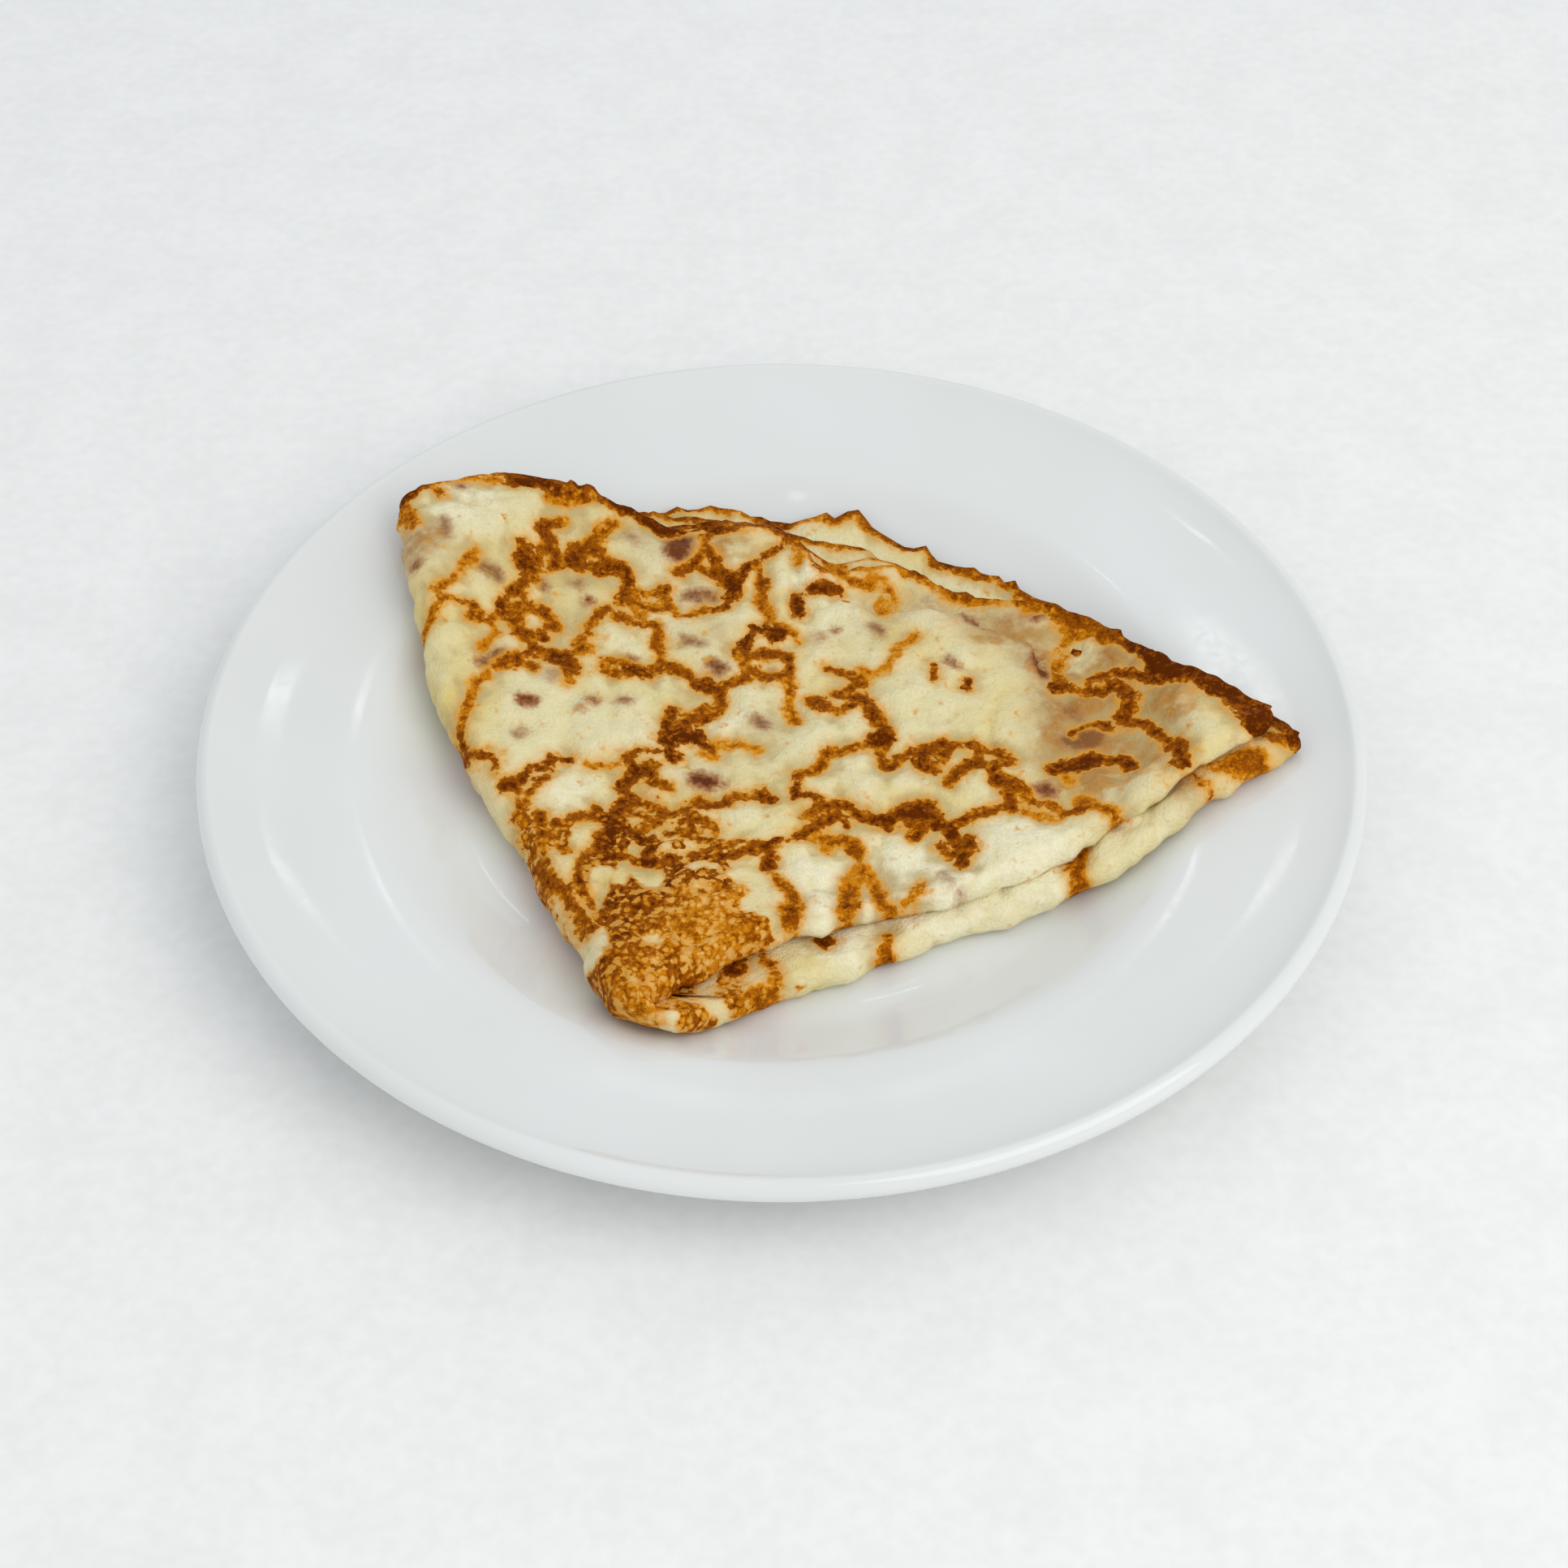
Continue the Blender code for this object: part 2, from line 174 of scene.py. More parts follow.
# Each mark is (width, darkness, points along it), in millimetres on the plate.
# Darkness runs from 0, golden, to 1, nearly black.
UPPER_MARKS = (
    # back left: the two curls, the triangle and the knot
    (2.2, 0.45, ((-42.7, 53.8), (-44.5, 52.7), (-45.8, 51.5), (-45.2, 49.6), (-45, 47.7),
        (-45.6, 45.8))),
    (3.2, 0.60, ((-49, 45.8), (-48.7, 43.5), (-47.5, 41.5))),
    (2, 0.45, ((-46.4, 43.5), (-46.8, 40.8), (-47, 38.8))),
    (2, 0.40, ((-43.3, 46.2), (-42.3, 44.2), (-43.7, 42.3), (-44.8, 41.2))),
    (1.4, 0.60, ((-48.3, 38.5), (-49.5, 36.7), (-50.6, 35), (-51.4, 33.5), (-52, 31.5))),
    (1.2, 0.45, ((-51.4, 34.2), (-49.5, 34.6), (-48.9, 33), (-49.4, 31.2))),
    (2.8, 0.60, ((-52, 31.5), (-51.4, 29.2), (-50.2, 27.3), (-49.1, 25), (-47.5, 23), (-45.6, 21.5))),
    (2.6, 0.60, ((-50, 28), (-48.5, 26.5))),
    (2.4, 0.65, ((-48, 24.6), (-44.4, 24.4))),
    (1.8, 0.50, ((-47, 31.2), (-48.3, 30.8), (-49.5, 29.6))),
    (2.2, 0.50, ((-44.7, 31.5), (-43.7, 30), (-42.5, 28), (-43.3, 27))),
    # the long thin line from the left and its small branches
    (1, 0.30, ((-57.7, 42), (-59, 39.2), (-60.2, 37.3), (-61.6, 34.6), (-62.9, 32), (-64.1, 30.4))),
    (1.2, 0.45, ((-64.1, 30.4), (-63.7, 28.5), (-64.3, 26.2), (-64.9, 24.2), (-65.8, 22.3))),
    (1.5, 0.40, ((-63.7, 28.9), (-61.8, 28.7), (-59.9, 29), (-57.9, 29.2), (-56.8, 28.1), (-57.2, 26.2),
        (-55.6, 26.2), (-54.1, 26.2), (-53.3, 24.2), (-54.1, 22.3), (-55, 20.2))),
    (2.4, 0.40, ((-57.4, 27.4), (-56, 26.6))),
    (1.5, 0.45, ((-55, 26.5), (-52.9, 28.1), (-51.4, 27.7))),
    # the double band to its right
    (2, 0.35, ((-32.2, 55.4), (-34.1, 53.8), (-35.2, 52.3), (-36, 50), (-36.8, 48.1))),
    (2.8, 0.50, ((-36.8, 48.1), (-39.1, 46.5), (-39.6, 44.4), (-38.3, 43.7))),
    (2.4, 0.60, ((-36, 48.8), (-34.8, 46.9), (-33.3, 45.4), (-30.6, 44.2), (-29.3, 42.3), (-29.5, 40),
        (-29.8, 37.7), (-30.4, 35.4))),
    (2.4, 0.70, ((-36.5, 44), (-33.5, 43), (-31, 43))),
    (1.2, 0.50, ((-30, 38.6), (-28.3, 38.3), (-25.3, 38.5), (-22, 39.8))),
    (1.7, 0.50, ((-22, 39.8), (-21.8, 37.3), (-20.9, 34.7), (-19.4, 32.6), (-17.7, 32.8), (-16, 33.9),
        (-13.1, 34.3), (-11, 35.2), (-10.1, 37.7))),
    (1.6, 0.50, ((-30.4, 35.6), (-27.5, 35.2), (-24.5, 34.3), (-21.5, 34.3))),
    (2, 0.45, ((-27.5, 34.3), (-27, 32.2))),
    (2.1, 0.50, ((-32.5, 33), (-34.1, 32), (-36, 29.6), (-36.8, 27.3), (-36.4, 25.8), (-37.2, 23.5),
        (-36, 21.5))),
    (1, 0.70, ((-44.5, 20.8), (-42.9, 20.8), (-41.4, 20.2), (-39.5, 21), (-35.8, 21.3))),
    (1.5, 0.55, ((-49, 19.2), (-47.2, 19.6), (-44.5, 19.4), (-42.2, 19.4))),
    (3, 0.65, ((-42, 19.2), (-40.2, 18.8), (-38.8, 17.6), (-39, 15.4))),
    (1.4, 0.45, ((-39.2, 15), (-39.5, 12.6))),
    (2.2, 0.60, ((-49.5, 18.5), (-50.2, 17), (-51.8, 15.8))),
    (1.4, 0.50, ((-49.6, 16.9), (-47.6, 17.2), (-45.8, 16.3))),
    # the ring beside the middle and the run round the pale field
    (1.4, 0.50, ((-32.9, 17.3), (-33.1, 18.2), (-32.4, 18.9), (-29.8, 18.8), (-27.9, 17.9))),
    (1.6, 0.55, ((-32.9, 17.3), (-30.6, 16.2), (-28, 15.9))),
    (3, 0.60, ((-28.4, 17), (-25.6, 16.8))),
    (2.2, 0.50, ((-25.6, 16.8), (-24, 17.4), (-22.8, 18.4))),
    (2.3, 0.55, ((-30.6, 31.2), (-28.3, 30.2), (-26.6, 29.4), (-24.5, 28.8))),
    (1.9, 0.55, ((-24.5, 28.8), (-23.7, 26.7), (-23.2, 24.2), (-22.8, 21.2), (-22.4, 18.7),
        (-20.3, 18.2), (-18.6, 17), (-17.3, 14.9), (-15.2, 13.6), (-13.1, 13.2), (-11, 11.9))),
    (3.4, 0.55, ((-15.9, 13.5), (-12.9, 12.7))),
    (2.4, 0.50, ((-10.3, 13.1), (-11.2, 11.4), (-10.8, 8.8), (-11.6, 6.6), (-14.6, 4.9), (-17.2, 2.8),
        (-18.5, 1))),
    (1.6, 0.50, ((-12.9, 7.4), (-17.2, 5.8))),
    (1.7, 0.50, ((-11, 11.9), (-9.7, 13.2), (-7.6, 14.4), (-5.8, 15.4))),
    # round the big blister and down to the middle
    (2.5, 0.50, ((-14.3, 54.2), (-14.8, 51.7), (-14.3, 49.5), (-16, 47.8), (-17.7, 45.7), (-19, 44.5))),
    (2.4, 0.65, ((-14.3, 48.7), (-13.1, 46.2), (-11.8, 44), (-9.7, 41.9))),
    (2.6, 0.85, ((-9.7, 41.9), (-8.9, 39.8), (-9.7, 37.7), (-10.5, 35.2))),
    (2, 0.50, ((-15.6, 45.3), (-13.1, 43.6), (-11, 42.3))),
    (1.3, 0.80, ((0.5, 52.5), (-2.1, 49.5), (-4.6, 47), (-6.7, 44.9), (-8.4, 42.3))),
    (2.2, 0.50, ((-4.6, 46.2), (-3.8, 43.6), (-3.8, 41), (-3.4, 39), (-3.4, 36), (-2.5, 33.9),
        (-2.1, 31.8), (-2.9, 29.7))),
    (1.6, 0.35, ((-2.1, 31.4), (0, 29.5), (1.5, 28), (2.7, 26.6))),
    (3.2, 0.85, ((-5, 28.8), (-3, 28), (-1.2, 27.7))),
    (2, 0.80, ((-5, 28.4), (-6.9, 25), (-7.4, 22))),
    (1.9, 0.55, ((-7.4, 22), (-6.7, 19.9), (-6.3, 17.8), (-4.6, 16.1), (-2.5, 15.3), (0.5, 15.3),
        (1.5, 17.4), (1.3, 20.4), (-0.4, 22), (-2.5, 22), (-4.2, 20.8), (-5.9, 20.8))),
    (1.8, 0.35, ((1.3, 15.3), (1.2, 12), (1.4, 9.1), (1.9, 5.6), (2.4, 3.7))),
    # the two dark marks and the golden ring at the back
    (2.8, 0.85, ((3, 38.1), (3, 36), (3.4, 33.3))),
    (3.4, 0.85, ((6, 39.4), (8, 39.8), (9.6, 39.4))),
    (2, 0.15, ((11.9, 47.4), (11.2, 45.3), (12.3, 42.3), (15.7, 41.9), (17.8, 43.6), (20.8, 41.5),
        (21.6, 39.4), (20.8, 36), (19, 34.3))),
    (1.5, 0.15, ((1.3, 53.8), (3, 50), (3.4, 47))),
    (1.2, 0.10, ((4.7, 48), (10, 47))),
    # the hook left of the near flap and the curl in front of it
    (2, 0.65, ((8.9, 18.2), (11, 16.5), (13.6, 15.3), (14.8, 13.2), (12.3, 12.3), (10.2, 11))),
    (2.2, 0.50, ((9.8, 11), (11.7, 10.1), (13.7, 9.6), (15.2, 7.6), (16.7, 5.1), (18.1, 2.7),
        (18.9, 0.2))),
    (3.4, 0.60, ((6.4, 8.7), (8, 6.6))),
    (1.8, 0.50, ((7.3, 6.6), (10.3, 6.1), (13.2, 7.1))),
    (3.2, 0.90, ((16.8, -2.2), (18.8, -1.4))),
    (1.9, 0.60, ((16.7, -3.2), (13.7, -3.7), (11.2, -4.2), (9.3, -4.7), (7.8, -6.7), (7.3, -8.6),
        (5.3, -9.6), (2.9, -11.1))),
    (1.8, 0.60, ((18.1, -3.2), (18.1, -6.2), (18.6, -8.2), (20.1, -8.2), (21.6, -6.2), (24.5, -4.2),
        (27.5, -3.2), (30, -3), (32.4, -3.7), (35.4, -4.2), (38.3, -4.7), (40.8, -6.2))),
    (2.2, 0.60, ((26.5, -4.2), (25, -7.2), (26.5, -9.1))),
    (1.6, 0.50, ((29.5, -4.2), (28.5, -6.7))),
    (2, 0.55, ((35.4, -4.7), (35.4, -7.2), (33.4, -8.6), (31.4, -10.1), (30, -12.1))),
    (2, 0.60, ((35.9, -8.2), (38.3, -8.2), (40.6, -7.7))),
    (2.5, 0.60, ((38.3, -8.6), (38.3, -11.1), (40.3, -13.6), (40.8, -16.5), (40.3, -19))),
    (2, 0.55, ((41.3, -14.1), (43.7, -15.5), (45.2, -17.5), (48.2, -19), (50.1, -20.5), (52.1, -21),
        (54.1, -18.5))),
    (2, 0.20, ((43.3, -20), (46, -21.4), (48.7, -21.9))),
    (1.6, 0.60, ((40.3, -19), (37.8, -19.5), (35.4, -20.5), (32.9, -21.4), (30.5, -22.4), (29, -23.4))),
    (2.2, 0.65, ((29, -23.4), (27, -21.4), (26.5, -18.5), (25, -17.5), (22.6, -18.5), (20.6, -20),
        (18.6, -21.9), (16.2, -21), (13.7, -19.5), (11.7, -18), (10.3, -18), (7.3, -19), (4.4, -20))),
    (3.8, 0.75, ((22.4, -20), (25.6, -19.4))),
    (2.8, 0.85, ((16.6, -21.6), (18.8, -22.2))),
    (2.4, 0.50, ((25.5, -21.4), (24.5, -23.9), (23.1, -25.4))),
    (2.8, 0.60, ((29.5, -23.9), (30.5, -26.9), (31.4, -29.3), (30.9, -31.8))),
    (2.4, 0.55, ((27.5, -27.9), (29, -29.8))),
    (2, 0.50, ((32.4, -26.4), (32.9, -29.3))),
    (1.6, 0.80, ((11.2, -22.4), (10.3, -21), (8.3, -21.4), (5.8, -23.4), (2.9, -25.4), (0.4, -26.9),
        (-2, -28.3), (-4.5, -29.3), (-6.5, -30.4), (-10.8, -31.3), (-15.1, -31.3), (-19.4, -31.5))),
    (2, 0.55, ((5.8, -25.4), (8.8, -25.9), (11.2, -26.4), (13.2, -28.8))),
    (1.4, 0.50, ((6.8, -26.4), (7.8, -27.9))),
    (1.9, 0.70, ((-5, -28.8), (-2.5, -30.3), (-2.3, -33.3))),
    (2, 0.75, ((2.4, -14.1), (2.4, -16), (4.9, -16), (6.8, -17.5))),
    # the golden lobes along the front edge
    (2.4, 0.30, ((13.7, -33.3), (12.2, -37.2), (11.2, -40.2), (10.8, -44))),
    (2, 0.30, ((14.7, -34.3), (16.2, -37.7), (17.2, -41.6), (18.6, -42.8))),
    (1.2, 0.25, ((23.6, -37.2), (23.1, -40.2), (21.1, -42.1))),
    (2.7, 0.40, ((-1.1, -36.2), (0.9, -39.2), (1.9, -41.6), (1.8, -44), (1.4, -47))),
    (2.4, 0.25, ((53, -18.2), (54.2, -19.4), (56, -21.2), (58.4, -23))),
    # right: the dark mark, the arch, the thick run and the far rim
    (3, 0.85, ((48.8, -8.9), (51.2, -8), (53.6, -8), (57.2, -6.8))),
    (2.6, 0.60, ((57.2, -6.8), (59.6, -8), (61.4, -10.4))),
    (1.5, 0.25, ((50.9, -10.5), (51.4, -12.9))),
    (1.6, 0.70, ((53.3, 0.4), (55.4, 1.9), (58.4, 1.9), (59, 0.4))),
    (3.8, 0.80, ((51.2, 12.4), (53.6, 12.4))),
    (3, 0.60, ((53.6, 12.4), (56, 11.2), (59, 10.6), (62, 10.6), (63.8, 7.6), (63.2, 5.2), (62.6, 2.2),
        (65, -0.2), (67.4, -3.2), (68.6, -6.8), (70.4, -9.8), (71, -13.4))),
    (2.2, 0.65, ((57.2, 14.2), (60.8, 14.5), (64.4, 13.3), (67.4, 10.6), (70.4, 10.6), (72.2, 10),
        (74.6, 8.8), (77.6, 8.2))),
    (1.6, 0.50, ((50, 23.2), (51.2, 20.2), (50.6, 16.6), (52.4, 13.6))),
    (2, 0.45, ((50, 23.2), (53, 23.8), (53.6, 26.8), (53, 29.2), (51.8, 32.2), (50.6, 34.6))),
    (2, 0.30, ((46.4, 28.6), (48.2, 27.4), (50, 26.8))),
    (3.6, 0.50, ((53, 31.5), (56, 28.6), (59.6, 26.2), (63.8, 23.2))),
    (3.2, 0.65, ((83, 7.6), (83.6, 4), (83, 0.4), (83.6, -3.2))),
    (1.6, 0.10, ((14.8, 17.4), (17, 16.1), (19.9, 18.2), (21.2, 20.8), (22, 23.3), (24.6, 25.9))),
    (1, 0.70, ((28, 17.4), (28, 14.4))),
    (1.5, 0.70, ((34.2, 13), (33.8, 11.6))),
    # left of the middle, towards the spine
    (2.4, 0.80, ((-20.2, 5.8), (-20.7, 3.2), (-20.2, 0.6), (-20.7, -1.5), (-20.2, -4.1),
        (-20.2, -6.7))),
    (3.2, 0.90, ((-19.4, -0.3), (-17.2, -0.7), (-14.8, -0.7))),
    (2, 0.75, ((-14.6, -0.9), (-13.8, -2.8), (-12.5, -4.6))),
    (1.8, 0.05, ((-13.3, -3.3), (-10.3, -2.4), (-7.3, -3.3), (-4.7, -4.1))),
    (1.2, 0.30, ((-14.2, -5.4), (-11.6, -5.9))),
    (1.4, 0.45, ((-54, 13.5), (-54.7, 12.2), (-56, 10.5), (-56.6, 7), (-57.4, 3), (-58.2, -0.5),
        (-57.4, -3), (-56, -5.4), (-53.4, -6.7))),
    (2, 0.70, ((-53.4, -6.7), (-51.7, -7.6), (-50.4, -10.2))),
    (2.2, 0.85, ((-38.3, -5.9), (-40.1, -6.3), (-41.4, -7.6), (-43.1, -8.9), (-44.8, -10.2),
        (-46.7, -11.9), (-48.7, -14))),
    (1.3, 0.55, ((-41.4, -9.3), (-42.6, -11.9), (-43.9, -14), (-44.6, -16.6), (-45.2, -19.6),
        (-45.7, -23.1), (-44.8, -26.1))),
    (1.3, 0.65, ((-47.4, -14.9), (-46.5, -17.5), (-46.1, -20.1))),
    (1.6, 0.50, ((-42.2, -20.9), (-42.4, -23.1), (-42.2, -25.7), (-41.8, -27.8))),
    (1.2, 0.70, ((-28.4, -5), (-25.8, -4.1), (-22.8, -4.6), (-20.7, -5.2))),
    (1.3, 0.20, ((-34.5, -8), (-32.3, -7.4), (-30.1, -6.3), (-28.4, -5.4))),
    (2, 0.65, ((-28.4, -5.4), (-26.7, -7.6), (-24.1, -9.7), (-22.4, -11.9), (-19.8, -14))),
    (1.4, 0.55, ((-25, -7.6), (-22.4, -8.6))),
    (2.2, 0.55, ((-26.7, -8), (-26.3, -10.2), (-28.4, -11.9), (-27.6, -14), (-25.8, -15.8))),
    (3.6, 0.50, ((-26.6, -16.4), (-29, -18.2))),
    (1.8, 0.50, ((-29, -18.6), (-31.4, -19.8), (-32.7, -18.4))),
    (1.7, 0.60, ((-25.8, -15.8), (-23.3, -17.5), (-20.7, -19.2))),
    (2, 0.55, ((-19.4, -19.6), (-17.2, -18.6), (-14.6, -17.5), (-12.9, -18.3), (-10.3, -18.3),
        (-9, -16.6))),
    (1.4, 0.50, ((-8.2, -15.8), (-5.6, -16.2), (-3, -16.2))),
    (2.8, 0.70, ((-3.8, -15.8), (-2, -16.6))),
    # the network over the tip, where it can be followed
    (2.2, 0.50, ((-40, -23.5), (-37.5, -23.1), (-35.8, -21.4), (-33.6, -20.5), (-31.4, -20.1))),
    (1.4, 0.45, ((-38.8, -24.8), (-39.2, -27.8), (-37, -30))),
    (3.2, 0.60, ((-31.4, -20.1), (-29.3, -22.2), (-30.1, -24.8), (-30.6, -27.4), (-31.9, -30))),
    (1.5, 0.50, ((-29, -19.4), (-25, -20.1), (-21.5, -21.4), (-22.8, -22.7), (-25.8, -23.1))),
    (2.6, 0.65, ((-28.4, -23.1), (-26.3, -24.8), (-24.1, -26.5), (-22.4, -27.4), (-23.3, -29.5))),
    (1.6, 0.55, ((-20, -19.6), (-17.2, -20.5), (-15.1, -22.2), (-12.9, -23.5), (-11.2, -25.2))),
    (1.8, 0.60, ((-19.8, -24.8), (-17.2, -24.8), (-15.1, -25.7), (-12.5, -27), (-10.3, -27.8))),
    (1.4, 0.65, ((-15.1, -30.4), (-11.6, -29.3), (-9, -28.5), (-6.9, -27.4))),
    (2, 0.60, ((-33.6, -31), (-28.2, -30.4), (-23.3, -32), (-19, -32.6))),
    (1.5, 0.50, ((-34.4, -31), (-35, -36), (-33.6, -40.7), (-32.5, -44))),
    (1.3, 0.55, ((-42.8, -28.8), (-40.6, -35), (-37.4, -39.6), (-35.2, -44), (-32, -49.3))),
    # back rim and left corner
    (1.5, 0.30, ((-59.5, 61.5), (-55, 62))),
    (4.2, 0.75, ((-52, 62), (-48, 62.4), (-43.5, 61.6))),
    (2.6, 0.60, ((-42, 60.4), (-38, 61), (-34, 60), (-31, 58.4))),
    (1.6, 0.30, ((-45, 59), (-42, 58.6))),
    (2.2, 0.40, ((-72.5, 54), (-71.3, 51), (-70, 47.6))),
    (1, 0.50, ((-66.4, 57), (-65.2, 55.4))),
)
LOWER_MARKS = (
    (2, 0.30, ((18.2, -45.8), (18.2, -49), (17.6, -53))),
    (3, 0.75, ((-8, -52), (-8.4, -54.8))),
    (1.5, 0.45, ((-3.5, -50.5), (-1.6, -53), (-0.8, -56), (-2, -58), (-6, -59.6), (-9.5, -60.4))),
    (2.6, 0.35, ((51.6, -28), (52, -31), (52.4, -35))),
    (3.6, 0.20, ((77, -13), (80.5, -12), (84, -10.6))),
    (1, 0.50, ((72.6, -13.6), (74, -16.4), (75.2, -17.8))),
    (3, 0.45, ((87.6, -5), (89, -5.6))),
    (2.4, 0.95, ((90.4, -5.6), (93, -5.4))),
    (2.4, 0.95, ((6.4, -46.6), (7.2, -47))),
)
# The edge of the near flap, from its left end round to its right one.
LEDGE = (
    (10, 33.5), (20, 34.2), (27.8, 33.7), (33.2, 31.6), (38, 28.8), (42.8, 26.9), (45.8, 26),
    (46.7, 23.2), (47, 17.8), (47.5, 11),
)
LEDGE_FALL = 2.3
# The browned rim of the upper layers, by bearing from the tip in degrees.
RIM_WIDTHS = (
    (28, 4.4), (35, 3.6), (44, 3.1), (56, 1.7), (62, 1), (70, 0.9), (80, 1.4), (92, 2), (102, 1.9),
    (106, 0.8), (110, 0.8), (113, 1.4),
)
RIM_DARKNESS = (
    (28, 0.85), (40, 0.70), (52, 0.60), (60, 0.35), (70, 0.25), (80, 0.45), (92, 0.60), (102, 0.75),
    (106, 0.35), (110, 0.35), (113, 0.75),
)
# Blushed batter, and painted shade on the shadowed spine edge at (-69, 42): x, y, radius, strength.
BLUSHES_AND_SPINE_SHADE = (
    (-55, 38, 3.4, 0.45), (-28.5, 52, 3, 0.6), (-38.5, 40, 4.6, 0.55), (-15.5, 38, 4, 0.6),
    (-17, 25, 3.2, 0.5), (-20, 50, 5, 0.7), (-12, 28.5, 2.4, 0.4), (-12, 18, 2.6, 0.6),
    (-52, 17, 3.6, 0.6), (-41.4, 14.4, 2.8, 0.5), (-47, 7, 2.6, 0.5), (-34.5, 8.2, 2, 0.5),
    (-29, 8, 2, 0.5), (17.8, 37.7, 4, 0.6), (24, 36, 4.5, 0.6), (17.5, 29, 3.6, 0.5),
    (7.5, 27, 2.6, 0.5), (-13.5, -12.5, 3.6, 0.9), (47, -15, 2.4, 0.9), (54, -1.5, 5.5, 0.9),
    (51, 5, 6, 0.75), (48, 10, 3.4, 0.5), (47.8, 18.5, 3.8, 1), (35.6, 32.2, 4.5, 0.8),
    (29.5, 38.5, 4, 0.6), (46.5, 33.5, 4, 0.8), (41.5, 31, 4, 0.7), (68, 16, 4, 0.6), (66, 9, 4, 0.4),
    # The spot at (-69, 42) is painted shade on the shadowed spine edge, not blush.
    (62, 19.5, 4, 0.5), (60, -20, 3, 0.3), (-69, 42, 5.5, 1), (-4, 3, 3, 0.6), (28.5, -37, 2.4, 0.5),
    (-61.6, 58.2, 1.8, 0.7), (-48, -1.5, 2, 0.4),
)
LOWER_BLUSHES = (
    (71, -16.5, 4.2, 0.9), (89.5, -6, 3.2, 0.9), (10, -47.5, 2, 0.5), (-16, -60, 4, 0.5),
)
# Dark blisters and pits, and a painted shadow line behind the near flap's edge: width, darkness and the
# points of a short line.
BLISTERS_AND_LEDGE_SHADOW = (
    (2.6, 0.60, ((-56.4, 38.6), (-54.6, 37))),
    (1.6, 0.30, ((-29.5, 52.4), (-28, 51.6))),
    (4.2, 0.90, ((-19.7, 52.2), (-20.3, 49))),
    (1.8, 0.75, ((-17.6, 37.8), (-16, 38.3), (-15.4, 37.4))),
    (1.8, 0.65, ((-14.4, 38.3), (-13, 37.8))),
    (1.8, 0.60, ((-18, 24.8), (-15.4, 24.2))),
    (1.8, 0.85, ((-13.2, 19), (-11.4, 17.4))),
    (2.2, 0.75, ((-55.4, 15.4), (-53.4, 17), (-51.8, 18.2))),
    (2.6, 0.30, ((-42.2, 14), (-40.6, 15))),
    (1.8, 1.00, ((-47.6, 7.2), (-46, 6.9))),
    (1.2, 0.80, ((-34.8, 8.7), (-34.2, 8.3))),
    (1.2, 0.75, ((-29.4, 8), (-28.6, 7.8))),
    (0.8, 0.60, ((-36.8, 6), (-36.4, 6))),
    (1.2, 0.50, ((-47.8, -1.4), (-46.8, -0.6))),
    (1, 0.80, ((-46, 37.6), (-44.8, 36.8))),
    (0.9, 0.70, ((-45.4, 38.4), (-45.2, 38.2))),
    (1, 0.50, ((-39.6, 38.6), (-38.6, 38), (-38.8, 39.6))),
    (0.8, 1.00, ((-36.5, 34.6), (-36.1, 34.5))),
    (1.1, 1.00, ((-23.8, 28.8), (-23.4, 28.4))),
    (0.8, 0.95, ((-28.4, 19.4), (-27.2, 19.6))),
    (0.8, 0.80, ((-68.1, 37), (-67.9, 36.4))),
    (1.9, 0.55, ((-64.4, 47.4), (-63.5, 44))),
    (1.6, 0.60, ((-61.8, 58.6), (-61.4, 58))),
    (2.8, 1.00, ((-14.8, -12), (-12.6, -13))),
    (0.7, 0.70, ((-10.6, -13.2), (-10.2, -13.4))),
    (1.9, 0.95, ((46.6, -14.4), (47.6, -15.6))),
    (4.6, 0.55, ((53, -1.6), (56, -2.2))),
    (2.8, 0.90, ((47.6, 19.8), (47.9, 17))),
    (2.2, 0.80, ((47, 34.6), (48.4, 33.4))),
    (2.4, 0.60, ((34.6, 32.8), (36.6, 31))),
    # This line is painted shadow: the shade the near flap's edge casts behind it, not a blister.
    (1.8, 0.60, ((38.6, 29.9), (41.5, 29), (44, 27.6))),
    (1.8, 0.55, ((24.4, 37), (25.8, 36))),
    (2, 0.75, ((23.2, 36.4), (24.2, 35.2))),
    (1.6, 0.60, ((17.4, 29), (18.2, 27.6))),
    (1.2, 0.40, ((7, 27.2), (7.4, 26))),
    (2, 0.65, ((-4.6, 3.4), (-3.2, 2.4))),
    (1.4, 0.40, ((27.8, -36), (29, -38.2))),
    (0.8, 0.55, ((30.8, -40), (31.1, -40.4))),
    (0.7, 0.80, ((30.9, 18.9), (32.6, 16.9))),
    (0.8, 0.60, ((38, -3.5), (38.1, -4.1))),
    (1.4, 0.50, ((67, 16.4), (69.4, 14.6))),
    (1.4, 0.55, ((52, 6), (54, 4.4))),
    (0.9, 0.70, ((-18.6, -53.6), (-18.3, -53.8))),
    (0.7, 0.80, ((10, 28.6), (10.3, 28.4))),
    (0.7, 0.60, ((-2.2, 16.8), (-2, 16.5))),
)
# Lace: x, y, radius and strength of the close network near the tip.
LACES = (
    (-33, -30, 13, 0.9), (-22, -33, 12, 1), (-31, -44, 12, 1), (-18, -47, 14, 1), (-24, -60, 12, 1),
    (-10, -38, 7, 1), (-40, -28, 6, 0.7), (-14, -60, 9, 1), (-8, -47, 6, 0.9),
)
